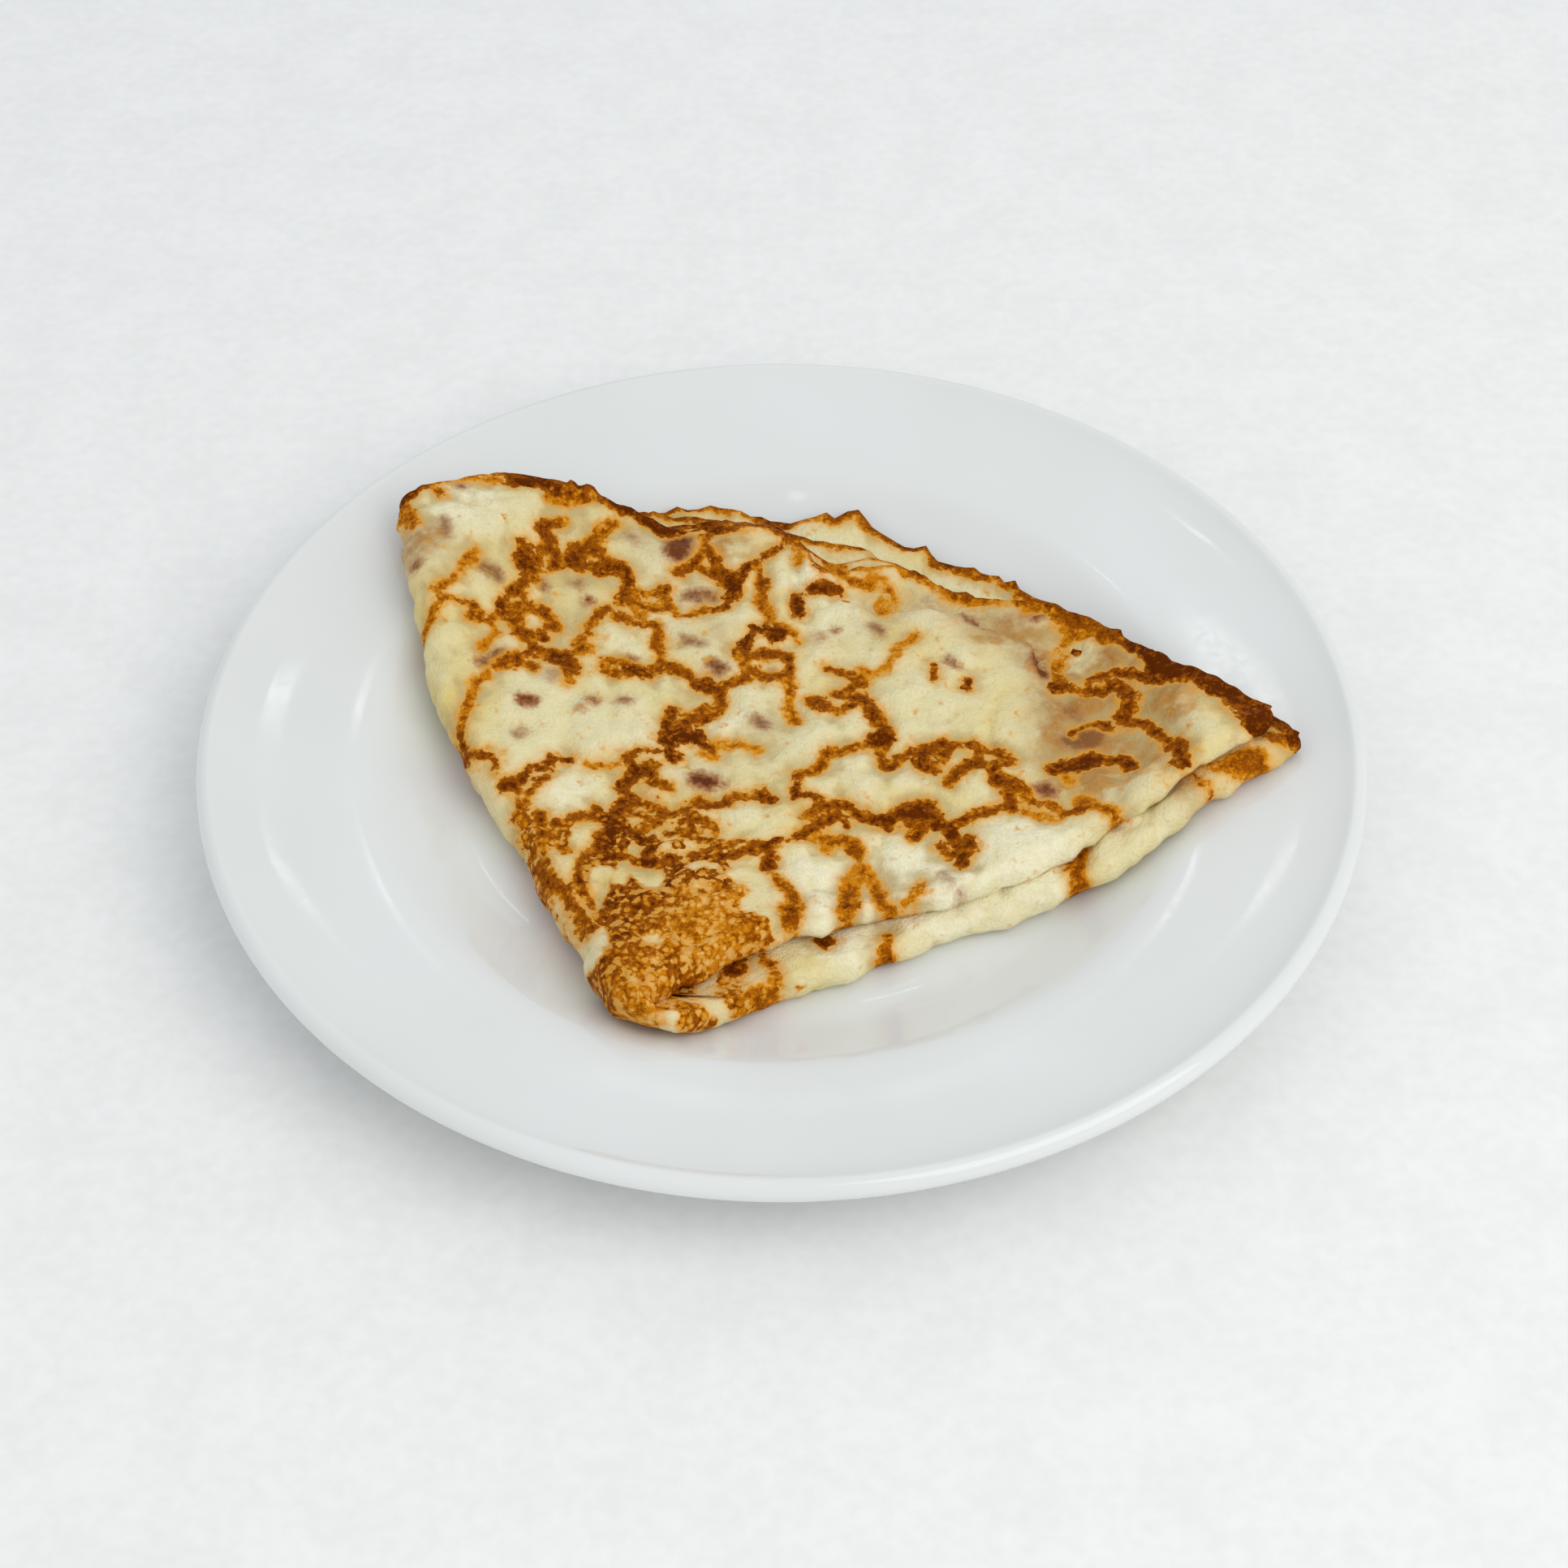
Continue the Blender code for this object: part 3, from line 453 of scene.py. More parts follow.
# Where the batter between the network is golden, and where the network is dark.
GOLDS = (
    (-18, -42, 11, 1), (-12, -46, 8, 1), (-24, -55, 9, 1), (-27, -44, 7, 1), (-20, -33, 6, 0.6),
    (-22, -64, 9, 1), (-11, -38, 5, 1), (74, 3, 7, 0.5), (66, -14, 5, 0.4), (33, 28, 7, 0.3),
    (84, -12, 5, 0.6), (58, 3, 6, 0.45), (64, -8, 5, 0.6), (54, 25, 5, 0.4), (-7, -45, 5, 0.8),
    (-32, -35, 5, 0.6), (-31, -26, 5, 0.6), (-14, -61, 6, 0.7),
)
SEARS = (
    (-27, -45, 8, 1), (-31, -29, 6, 0.8), (-20, -31, 8, 0.7), (-33, -38, 7, 0.8), (-30, -55, 6, 0.8),
    (-20, -37, 5, 0.5), (-36, -25, 6, 0.6), (-24, -38, 6, 0.5), (-29, -62, 5, 0.5), (-37, -42, 7, 0.5),
    (-12, -31, 5, 0.7), (-17, -60, 5, 0.8),
)
# Pale islands in the lace: width, strength and the points of a short line.
ISLANDS = (
    (4.6, 1, ((-43, -18), (-41, -21.5))),
    (4.6, 1, ((-34.5, -24.5), (-34, -29))),
    (4.6, 1, ((-36.8, -32), (-38.2, -35))),
    (3, 1, ((-30.6, -36), (-31.5, -40), (-32.3, -43.5))),
    (2.2, 0.8, ((-27.4, -35.4), (-28, -38))),
    (3.2, 0.9, ((-25.4, -27.8), (-24.8, -28.8))),
    (3.2, 1, ((-25, -22.6), (-22.5, -24), (-20, -25.4))),
    (3.6, 1, ((-15.4, -27.6), (-14.8, -29.2))),
    (2.6, 0.9, ((-21, -30.2), (-18, -30.6))),
    (2.2, 0.8, ((-27.1, -31.4), (-27.3, -33.8))),
    (1.8, 0.7, ((-14.4, -34.4), (-12.6, -34))),
    (6, 1, ((-41, -13), (-36, -18))),
    (3.4, 0.6, ((-24.6, -35), (-22.8, -36.8))),
    (4.6, 1, ((-6.4, -32.5), (-5.4, -36), (-4.4, -39.5), (-2.8, -44))),
    (2.4, 1, ((-37.6, -37), (-37, -40), (-35.8, -43.5))),
    (2.4, 1, ((-34.7, -45), (-33.4, -48.6))),
    (3, 1, ((-32, -50.5), (-30.6, -55))),
    (1.6, 0.4, ((-22, -52), (-20.6, -53))),
)
LOWER_ISLANDS = (
    (3.4, 1, ((-12.8, -56.5), (-12, -62))),
    (4.4, 1, ((-4.8, -50), (-4.6, -55.5))),
    (1.4, 0.6, ((-19.5, -65.5), (-18.6, -67))),
)
# Batter baked through to golden brown between the marks, and painted shade on the shadowed spine edge
# at (-68, 43): x, y, radius and strength.
BAKED_AND_SPINE_SHADE = (
    (58, 8, 9, 0.75), (53, -4, 8, 0.75), (63, -6, 7, 0.9), (47, 26, 6, 0.7), (66, 13, 6, 0.6),
    (54, -12, 7, 0.7), (57, 34, 4, 0.6), (67, 2, 6, 0.6), (40, 31, 5, 0.4), (69, 8, 5, 0.4),
    (50, 16, 5, 0.5), (-34, -38, 7, 0.8), (-29, -49, 7, 1), (-38, -30, 5, 0.6), (-28, -60, 6, 0.9),
    (-25, -40, 7, 0.8), (-33, -27, 5, 0.4), (-20, -34, 5, 0.5), (-14, -64, 4, 0.4), (62, -4, 5, 0.7),
    (62, 20, 4, 0.6), (55, 10, 5, 0.4), (38, 24, 5, 0.4), (-16, 53, 7, 0.6), (-8, 50, 5, 0.4),
    # The spot at (-68, 43) is painted shade on the shadowed spine edge.
    (14, 53, 5, 0.5), (-12, 38, 4, 0.4), (-27, 58, 5, 0.4), (-68, 43, 5, 0.5), (-20, 1, 4, 0.3),
    (11, 8, 4, 0.3), (42, -19, 4, 0.5), (-10, 25, 4, 0.3), (80, 1, 5, 0.4),
)
# Whiter batter, and a painted sheen at the back-left corner at (-62, 54): x, y, radius, strength.
WHITES_AND_SHEEN = (
    # The spot at (-62, 54) is a painted sheen, not whiter batter.
    (4, -37, 8, 1), (21, -33, 9, 0.8), (-62, 54, 9, 0.8), (3, 42, 7, 0.7), (-25, -3, 8, 0.5),
    (-10, 2, 6, 0.6), (20, -10, 8, 0.6), (-38, -15, 7, 0.7), (42, -24, 9, 0.7), (5, 5, 7, 0.5),
    (-47, 27, 6, 0.4), (8, 30, 7, 0.5), (10, -46, 8, 0.9), (28, -38, 9, 0.9), (45, -32, 8, 0.8),
    (66, -24, 7, 0.5), (3, 53, 4, 0.8), (8, 42, 5, 0.5), (-60, 60, 5, 0.4),
)

# -------------------------------------------------------- relief and patterns

# Noise of the relief and the browning: size of its features in millimetres, seed.
WAVES = {
    "mark width": (4.5, 31), "mark darkness": (7.0, 33),
    "rim width": (6.0, 41), "rim darkness": (6.0, 45),
    "puffs": (7.0, 51), "small puffs": (3.6, 52), "lumps": (2.3, 55), "grain": (1.6, 57),
    "swell": (14.0, 61), "pebbles": (1.9, 63), "yolk": (22.0, 71),
    "spikes": (2.6, 5), "teeth": (1.9, 13), "points": (1.7, 15),
}
# How much wider every mark is browned than its noted width, on each side.
SPREAD = 0.30
# How far the marks wander, in millimetres, and what stands for no mark at all near a place.
MARK_WANDER = 0.55
NO_MARK = -9.0
# How dark the browned rim is on the lower layers, from 0 to 1.
LOWER_RIM_DARKNESS = 0.45
# The rise about which the painted light and shade of the relief turn: below it the batter is painted
# yellow and dull as shade, above it pale and clear as lit.
MEAN_RISE = 0.2
# The relief is held down by a share between two heights, where the crepe is highest.
HELD_SHARE = 0.55
HELD_HEIGHTS = (22.0, 25.0)
# Sizes in millimetres of the finest patterns, and the colours that have no setting.
LACE_SIZE = 2.1
SCALLOP_SIZE = 1.5
PIP_SIZE = 1.35
CRUMPLE_SIZE = 2.2
BLUSH_SIZE = 1.6
PATCH_SIZE = 11.0
SPECK_SIZE = 21.0
GRAIN_COLOUR = (0.55, 0.42, 0.20)
BLISTER_COLOUR = (0.42, 0.17, 0.06)
PIT_COLOUR = (0.13, 0.026, 0.004)
SPECK_COLOUR = (0.10, 0.08, 0.06)
CRUMB_DARK = (0.20, 0.06, 0.015)
CRUMB_LIGHT = (0.55, 0.27, 0.08)

# ------------------------------------------------------------ crumb and stage

# The crumb: half its length, width and height, its place, its lift off the well and
# its climb for each millimetre past the well's edge.
CRUMB_HALF_SIZE = (0.75, 0.5, 0.35)
CRUMB_PLACE = (-7.6, -59.0)
CRUMB_LIFT = 0.33
CRUMB_CLIMB = 0.4
# The camera: degrees above the table, metres from its aim, sensor and lens in millimetres.
CAMERA_ELEVATION = 45.77
CAMERA_DISTANCE = 0.55
CAMERA_AIM = (0.00043, -0.00893, 0.012)
SENSOR_WIDTH = 36.0
LENS = 70.118012
# The stage, in metres: how far the floor reaches each way, and where the key light hangs.
FLOOR_REACH = 1.6
KEY_PLACE = (0.60, -0.50, 0.85)
KEY_SIZE = (0.9, 0.8)
KEY_COLOUR = (1.0, 0.985, 0.96)
SKY_COLOUR = (0.95, 0.98, 1.0)
# Small bright panes that glint in the glaze: name, bearing and height in degrees, size.
PANES = (
    ("pane above", 88.5, 46.8, (0.075, 0.022)),
    ("pane behind", 90.0, 42.2, (0.060, 0.020)),
    ("pane right", 101.0, 54.5, (0.060, 0.020)),
    ("pane overhead", 219.0, 87.6, (0.050, 0.050)),
)
PANE_DISTANCE = 1.3
PANE_COLOUR = (0.98, 0.99, 1.0)

# --------------------------------------------------------------------- shapes


def along(table, value):
    """The table's second column at values of its first.

    Between two rows it is a cubic that keeps the table's slope at both.
    """
    xs, ys = np.array(table, float).T
    slopes = np.gradient(ys, xs)
    value = np.clip(value, xs[0], xs[-1])
    low = np.clip(np.searchsorted(xs, value) - 1, 0, len(xs) - 2)
    span = xs[low + 1] - xs[low]
    part = (value - xs[low]) / span
    rise = part * part * (3 - 2 * part)
    ends = slopes[low] * (1 - part) - slopes[low + 1] * part
    bend = part * (1 - part) * span * ends
    return ys[low] + (ys[low + 1] - ys[low]) * rise + bend


def step(value, start, end):
    """Zero up to start, one past end, with 3p squared - 2p cubed between."""
    part = np.clip((value - start) / (end - start), 0, 1)
    return part * part * (3 - 2 * part)


def hill(x, y, place, size):
    """exp(-d squared / size squared), with d the distance from a place."""
    return np.exp(-((x - place[0]) ** 2 + (y - place[1]) ** 2) / size**2)


def lattice(cells, seed):
    """A fixed random number from 0 to 1 for each whole-numbered lattice corner."""
    mixed = cells.astype(np.int64) @ np.array([374761393, 668265263, 1274126177])
    mixed = (mixed + seed * 987643) & 0xFFFFFFFF
    mixed = ((mixed ^ (mixed >> 13)) * 1274126177) & 0xFFFFFFFF
    mixed = ((mixed ^ (mixed >> 16)) * 668265263) & 0xFFFFFFFF
    return ((mixed ^ (mixed >> 15)) & 0xFFFFFF) / 0xFFFFFF


def noise(points, size, seed):
    """Smooth noise from -1 to 1 with features of a size: lattice numbers, eased between."""
    place = points / size
    cell = np.floor(place)
    part = place - cell
    part = part * part * (3 - 2 * part)
    total = np.zeros(len(points))
    for corner in range(8):
        offset = np.array([corner & 1, corner >> 1 & 1, corner >> 2 & 1])
        weight = np.prod(np.where(offset == 1, part, 1 - part), axis=1)
        total += weight * lattice(cell + offset, seed)
    return 2 * total - 1


def wave(points, name):
    """Noise of the size and seed kept under a name in WAVES."""
    return noise(points, *WAVES[name])


def ragged(points, size, seed, octaves=3):
    """Noise with finer and weaker copies of itself added."""
    total = np.zeros(len(points))
    for octave in range(octaves):
        total += noise(points, size / 2**octave, seed + octave) / 1.8**octave
    return total


def rest_height(x, y):
    """Height of the crepe's underside: flat in the well, bent up to lie on the rim."""
    radius = np.hypot(x, y)
    flat = FLAT_RADIUS - FLAT_SHIFT * y / np.maximum(radius, 1)
    reach = BREAK_RADIUS - flat
    inner = WALL_CLIMB * (np.clip(radius - flat, 0, reach) / reach) ** 2
    slope = (RIM_HEIGHT - BREAK_HEIGHT) / (RIM_RADIUS - BREAK_RADIUS)
    outer = slope * np.clip(radius - BREAK_RADIUS, 0, None)
    bridge = BRIDGE[0] * np.exp(-(((radius - BREAK_RADIUS) / BRIDGE[1]) ** 2))
    lift, corner, size = LIFTED_CORNER
    lifted_corner = lift * hill(x, y, corner, size)
    return WELL_HEIGHT + REST_GAP + inner + outer + bridge + lifted_corner


def stack_scale(x, y, reach, bearing):
    """How much thicker than pressed flat the stack of layers is at a place."""
    scale = STACK_SCALE + sum(rise * hill(x, y, (cx, cy), size) for cx, cy, size, rise in SWELLS)
    from_front = np.radians(bearing - along(FRONT_BEARING, reach)) * reach
    from_spine = np.radians(along(SPINE_BEARING, reach) - bearing) * reach
    scale = scale + FRONT_PUFF * np.exp(-((from_front / 9) ** 2))
    scale = scale + SPINE_PUFF * np.exp(-((from_spine / 11) ** 2))
    start = 101 + 5 * step(bearing, 66, 54)
    ledge = step(bearing, 40, 50) * (1 - step(bearing, 64, 72))
    scale = scale - LEDGE_DROP * ledge * step(reach, start, start + 7)
    return scale * (1 - EDGE_PRESS * step(reach, 104, 128))


def level(layer):
    """Height of the middle of a layer of the sheet, pressed flat."""
    return SHEET / 2 + PITCH * layer


def flat_run(layer, way, up):
    """Columns across one layer: layer, way, sideways offset, height, normal out and up."""
    same = np.ones_like(way)
    return np.stack([layer * same, way, 0 * way, level(layer) * same, 0 * way, up * same], 1)


def fold_run(layer, way, side, steps, start, end, outward):
    """Columns of a half-round fold from one layer's height to another's.

    At angle a from 0 to pi the sheet stands radius * sin(a) out and
    radius * cos(a) from the fold's middle height.
    """
    angle = np.pi * np.arange(1, steps + 1) / (steps + 1)
    radius = abs(level(end) - level(start)) / 2
    out = side * np.sin(angle)
    up = np.cos(angle) * np.sign(start - end)
    height = (level(start) + level(end)) / 2 + radius * up
    same = np.ones_like(angle)
    return np.stack([layer * same, way * same, radius * out, height, outward * out, outward * up], 1)


def sheet_columns():
    """The closed path of the outer face round the stack, and how many columns each run has."""
    hidden = np.linspace(0, 1, HIDDEN_STEPS + 1) ** 1.4
    top = np.linspace(0, 1, TOP_STEPS + 1)
    runs = [
        flat_run(0, hidden[::-1], -1),
        fold_run(0, 0, -1, FRONT_STEPS, 0, 1, 1),
        flat_run(1, hidden, 1),
        fold_run(1, 1, 1, INNER_SPINE_STEPS, 1, 2, -1),
        flat_run(2, hidden[::-1], -1),
        fold_run(2, 0, -1, FRONT_STEPS, 2, 3, 1),
        flat_run(3, top, 1),
        fold_run(3, 1, 1, OUTER_SPINE_STEPS, 3, 0, 1),
    ]
    return np.concatenate(runs), [len(run) for run in runs]


def nose_distance(reach):
    """Distance back from the foremost point, for a distance from the tip."""
    return reach + NOSE_LEAD * step(reach, 0, 14)


def nose_points(reach, way, upper, sideways):
    """Plan position of the sheet near the tip, in sections across the nose's axis."""
    ahead = nose_distance(reach)
    front = np.where(upper, along(NOSE_UPPER, ahead), along(NOSE_FRONT, ahead))
    beside = front + (along(NOSE_SPINE, ahead) - front) * way - sideways
    axis = np.radians(NOSE_BEARING)
    x = NOSE[0] + ahead * np.cos(axis) + beside * np.sin(axis)
    y = NOSE[1] + ahead * np.sin(axis) - beside * np.cos(axis)
    return x, y


def raw_radius(layer, bearing):
    """Distance of a layer's raw edge from the tip: its table, and a small raggedness."""
    radius = np.empty(len(layer))
    for index in range(4):
        ours = layer == index
        radius[ours] = along(RAW_EDGE[index], bearing[ours])
    place = np.stack([bearing * 2.1, layer * 37.0, 0 * bearing], 1)
    spike = np.clip(wave(place, "spikes") - 0.35, 0, 1)
    return radius + 0.6 * ragged(place, 6.0, 3, 3) + 1.6 * spike


def fray(layer, bearing):
    """How far a raw edge's small teeth stand out: fine noise, a few sharp points and the knobs."""
    place = np.stack([bearing * 2.1, layer * 53.0, 0 * bearing], 1)
    point = np.clip(wave(place, "points") - 0.45, 0, 1)
    teeth = 0.35 * wave(place, "teeth") + 2.2 * point
    for index, x, y, spread, length in KNOBS:
        middle = round(float(np.degrees(np.arctan2(y - TIP[1], x - TIP[0]))), 1)
        teeth += length * (layer == index) * np.exp(-(((bearing - middle) / spread) ** 4))
    return teeth


def sheet_points(columns, share, face):
    """Points of the sheet at shares of the way from the tip to the raw edge.

    In plan a point lies at reach = share * edge radius from the tip, on a
    bearing between the front's and the spine's; near the tip it passes
    over to plane sections. Its height is the rest height plus the stack's
    scale times its level. face is 1 for the outer face, -1 for the inner.
    """
    layer, way, offset, height, normal_out, normal_up = columns.T
    layer = layer.astype(int)
    upper = layer >= 2
    front_end = np.array(FRONT_ENDS)[layer]
    end_bearing = front_end + (SPINE_END - front_end) * way
    raw = raw_radius(layer, end_bearing)
    teeth = fray(layer, end_bearing) * step(share, 0.95, 1.0)[:, None]
    reach = share[:, None] * raw[None, :] + teeth
    front = along(FRONT_BEARING, reach)
    spine = along(SPINE_BEARING, reach)
    # Rows lie square to the nose's axis near the tip and on arcs far from it.
    off_axis = np.clip(front + (spine - front) * way - NOSE_BEARING, -58, 58)
    square = 1 / np.cos(np.radians(off_axis)) - 1
    away = reach * (1 + square * (1 - step(reach, *SQUARE_END)))
    front = along(FRONT_BEARING, away)
    spine = along(SPINE_BEARING, away)
    width = np.radians(spine - front) * away
    inset = upper * np.minimum(along(UPPER_INSET, away), 0.45 * width)
    start = front + np.degrees(inset / np.maximum(away, 0.5))
    bearing = start + (spine - start) * way
    thinning = 1 - (1 - EDGE_SHEET / SHEET) * step(reach, raw - 7, raw)
    half = SHEET / 2 * thinning * face
    spread = np.where(way > 0.5, 1.0, FOLD_SPREAD)
    lift = height + half * normal_up
    rounding = np.interp(lift, (0, 7.5), NOSE_ROUND)
    opened = np.clip(nose_distance(reach) / rounding, 0, 1)
    swell = np.sqrt(1 - (1 - opened) ** 2)
    sideways = (offset + half * normal_out) * swell * spread
    lift = NOSE_LEVEL + (lift - NOSE_LEVEL) * swell
    turn = np.radians(bearing)
    x = TIP[0] + away * np.cos(turn) - sideways * np.sin(turn)
    y = TIP[1] + away * np.sin(turn) + sideways * np.cos(turn)
    nose_x, nose_y = nose_points(reach, way, upper, sideways)
    nose = 1 - step(reach, *NOSE_END)
    x, y = x + (nose_x - x) * nose, y + (nose_y - y) * nose
    z = rest_height(x, y) + stack_scale(x, y, away, bearing) * lift
    ripple = 0.5 + 0.5 * np.sin(np.radians(bearing) * 11 + 2.0 * layer)
    curl = step(reach, raw - 5, raw + 1) * ripple
    z = z + EDGE_CURL[0] * curl * (layer == 3) + EDGE_CURL[1] * curl * (layer < 3)
    return np.stack([x, y, z], 2), raw - reach + teeth


def strip(first, second, first_way, second_way):
    """Triangles between two rows of points that run side by side.

    Each edge of one row is joined to the point of the other that its
    middle has reached, so rows of unequal count close without a gap.
    """
    first_middle = (first_way[1:] + first_way[:-1]) / 2
    second_middle = (second_way[1:] + second_way[:-1]) / 2
    over_first = second[np.searchsorted(second_middle, first_middle, "left")]
    over_second = first[np.searchsorted(first_middle, second_middle, "right")]
    one = np.stack([first[1:], first[:-1], over_first], 1)
    two = np.stack([second[:-1], second[1:], over_second], 1)
    return np.concatenate([one, two])


def sheet_mesh():
    """Points, quads, triangles, distance from the raw edge and columns of the folded sheet.

    The outer face is a grid of rows from the tip to the edge by columns
    round the stack; the inner face goes back in from the edge and closes.
    """
    columns, runs = sheet_columns()
    count = len(columns)
    starts = np.concatenate([[0], np.cumsum(runs)])
    body = np.linspace(NEAR_TIP[-1], RIM_START, BODY_ROWS + 1)[1:]
    rim = np.linspace(RIM_START, 1, RIM_ROWS + 1)[1:]
    shares = np.concatenate([NEAR_TIP, body, rim])
    outer, outer_edge = sheet_points(columns, shares, 1)
    edge, edge_edge = sheet_points(columns, np.array([1.003]), 0)
    inside = np.array([1.0, 0.985, 0.955, 0.90, 0.85, 1 - POCKET_DEPTH / 125])
    inner, inner_edge = sheet_points(columns, inside, -1)
    # The slot between the two middle layers starts at a seam row.
    slot = np.arange(starts[2], starts[5])
    mirrored = slot[::-1]
    seam = (outer[SLOT_ROW, slot] + outer[SLOT_ROW, mirrored]) / 2
    lower_half = columns[slot, 0] < 2
    plan = np.where(lower_half[:, None], outer[SLOT_ROW, mirrored], outer[SLOT_ROW, slot])
    seam[:, :2] = plan[:, :2]
    outer[SLOT_ROW, slot] = seam
    tip, _ = sheet_points(columns[:1], np.array([0.0]), 0)
    grid = np.concatenate([outer, edge, inner])
    from_edge = np.concatenate([outer_edge, edge_edge, inner_edge])
    points = np.concatenate([grid.reshape(-1, 3), tip[0]])
    from_edge = np.append(from_edge, 120.0)
    joined = np.arange(len(points))
    joined[SLOT_ROW * count + slot] = SLOT_ROW * count + np.minimum(slot, mirrored)
    everyone = np.arange(count)
    around = np.delete(everyone, slot[1:])
    quads = []
    for row in range(len(grid) - 1):
        ring = around if row < SLOT_ROW else everyone
        low, high = row * count + ring, (row + 1) * count + ring
        quads.append(np.stack([low, high, np.roll(high, -1), np.roll(low, -1)], 1))
    pole = np.full(len(around), len(points) - 1)
    triangles = [np.stack([pole, around, np.roll(around, -1)], 1)]
    # The pocket's end: the lower front fold to the upper one, both ways round.
    last = (len(grid) - 1) * count
    middle_low = starts[1] + FRONT_STEPS // 2
    middle_high = starts[5] + FRONT_STEPS // 2
    inner_way = np.arange(middle_low, middle_high + 1)
    outer_way = np.concatenate(
        [np.arange(middle_low, -1, -1), np.arange(count - 1, middle_high - 1, -1)]
    )
    way = pocket_measure(columns, starts)
    triangles.append(strip(last + inner_way, last + outer_way, way[inner_way], way[outer_way]))
    quads = joined[np.concatenate(quads)]
    triangles = joined[np.concatenate(triangles)]
    return points, quads, triangles, from_edge, columns


def pocket_measure(columns, starts):
    """How far along the pocket's end each column is, with starts[i] the first column of run i.

    It is 0 to 1 over a lower layer, 1 to 2 up the spine and 2 to 3 back
    over an upper layer, with the two front folds just before and after.
    """
    layer, way, _, height, _, _ = columns.T
    place = np.where(layer < 2, way, 3 - way)
    for run, low, high in ((3, level(1), level(2)), (7, level(0), level(3))):
        ours = slice(starts[run], starts[run + 1])
        place[ours] = 1 + (height[ours] - low) / (high - low)
    for run, base, side in ((1, -0.01, 1), (5, 3.01, -1)):
        front = np.arange(starts[run], starts[run + 1])
        middle = starts[run] + FRONT_STEPS // 2
        place[front] = base + side * np.abs(front - middle) / 2000
    return place


def plate_profile():
    """Outline of half the plate from the middle of the well round to the base, rounded.

    The same corners as the solid's, with each corner but the ends cut by
    a curve, so that the glaze has no facets.
    """
    foot_inside = FOOT_RADIUS - FOOT_WIDTH
    angles = np.radians(np.linspace(92, -80, 13))
    roll = np.array(ROLL_CENTRE) + ROLL_RADIUS * np.stack([np.cos(angles), np.sin(angles)], 1)
    corners = [
        (0.0, WELL_HEIGHT), (WELL_RADIUS - 18, WELL_HEIGHT), (WELL_RADIUS - 5, WELL_HEIGHT),
        (WELL_RADIUS, WELL_HEIGHT + 0.5), (WELL_RADIUS + 3.6, WELL_HEIGHT + 1.7),
        (BREAK_RADIUS - 6.5, BREAK_HEIGHT - 3.1), (BREAK_RADIUS - 2.2, BREAK_HEIGHT - 0.9),
        (BREAK_RADIUS, BREAK_HEIGHT), (BREAK_RADIUS + 3, BREAK_HEIGHT + 0.55),
        (RIM_RADIUS - 9, RIM_HEIGHT - 1.0), (RIM_RADIUS - 4, RIM_HEIGHT - 0.2),
        (RIM_RADIUS - 0.5, RIM_HEIGHT + 0.55), (RIM_RADIUS + 2.2, RIM_HEIGHT + 1.4),
        (RIM_RADIUS + 3.7, RIM_HEIGHT + 2.05),
    ]
    under = [
        (RIM_RADIUS + 2.5, RIM_HEIGHT - 2.6), (RIM_RADIUS - 4, RIM_HEIGHT - 4.0),
        (BREAK_RADIUS + 5, BREAK_HEIGHT - 3.6), (BREAK_RADIUS, BREAK_HEIGHT - 5.2),
        (FOOT_RADIUS + 5.5, BASE_HEIGHT + 0.7), (FOOT_RADIUS + 1.2, BASE_HEIGHT - 0.8),
        (FOOT_RADIUS, 0.35), (FOOT_RADIUS - 0.6, 0.0), (foot_inside + 0.6, 0.0),
        (foot_inside, 0.5), (foot_inside - 0.7, BASE_HEIGHT - 0.4),
        (foot_inside - 2.5, BASE_HEIGHT), (0.0, BASE_HEIGHT),
    ]
    line = np.concatenate([corners, roll, under])
    for _ in range(2):
        near = 0.75 * line[:-1] + 0.25 * line[1:]
        far = 0.25 * line[:-1] + 0.75 * line[1:]
        cut = np.stack([near, far], 1).reshape(-1, 2)
        line = np.concatenate([line[:1], cut[1:-1], line[-1:]])
    return line


def turned(line, segments):
    """Points, quads and triangles of a line turned about the z axis.

    The point for row i and turn j is (r cos t, r sin t, z), with
    t = 2 pi j / segments; both ends lie on the axis and are one point.
    """
    turn = 2 * np.pi * np.arange(segments) / segments
    radius, up = line[1:-1].T
    x = radius[:, None] * np.cos(turn)
    y = radius[:, None] * np.sin(turn)
    z = np.repeat(up[:, None], segments, 1)
    ring = np.stack([x, y, z], 2)
    points = np.concatenate([ring.reshape(-1, 3), [[0, 0, line[0, 1]], [0, 0, line[-1, 1]]]])
    ids = np.arange(len(ring) * segments).reshape(len(ring), segments)
    low, high = ids[:-1], ids[1:]
    quads = np.stack([low, high, np.roll(high, -1, 1), np.roll(low, -1, 1)], 2).reshape(-1, 4)
    top = np.stack([np.full(segments, ids.size), ids[0], np.roll(ids[0], -1)], 1)
    base = np.stack([np.full(segments, ids.size + 1), np.roll(ids[-1], -1), ids[-1]], 1)
    return points, quads, np.concatenate([top, base])


def face_list(quads, triangles):
    """The faces as lists, without the quads and triangles that have lost their area."""
    kept_quads = quads[(quads[:, 0] != quads[:, 3]) | (quads[:, 1] != quads[:, 2])]
    good = (triangles[:, 0] != triangles[:, 1]) & (triangles[:, 1] != triangles[:, 2])
    return kept_quads.tolist() + triangles[good & (triangles[:, 0] != triangles[:, 2])].tolist()


# --------------------------------------------------------- marks on the sheet


def smooth_line(points, pieces=4):
    """A line through all the points: the cubic that keeps the slope of its neighbours."""
    points = np.array(points, float)
    ends = np.vstack([2 * points[0] - points[1], points, 2 * points[-1] - points[-2]])
    before, start, end, after = ends[:-3], ends[1:-2], ends[2:-1], ends[3:]
    part = (np.arange(pieces) / pieces)[None, :, None]
    before, start, end, after = (p[:, None, :] for p in (before, start, end, after))
    line = 0.5 * (
        2 * start
        + (end - before) * part
        + (2 * before - 5 * start + 4 * end - after) * part**2
        + (3 * start - before - 3 * end + after) * part**3
    )
    return np.vstack([line.reshape(-1, 2), points[-1:]])


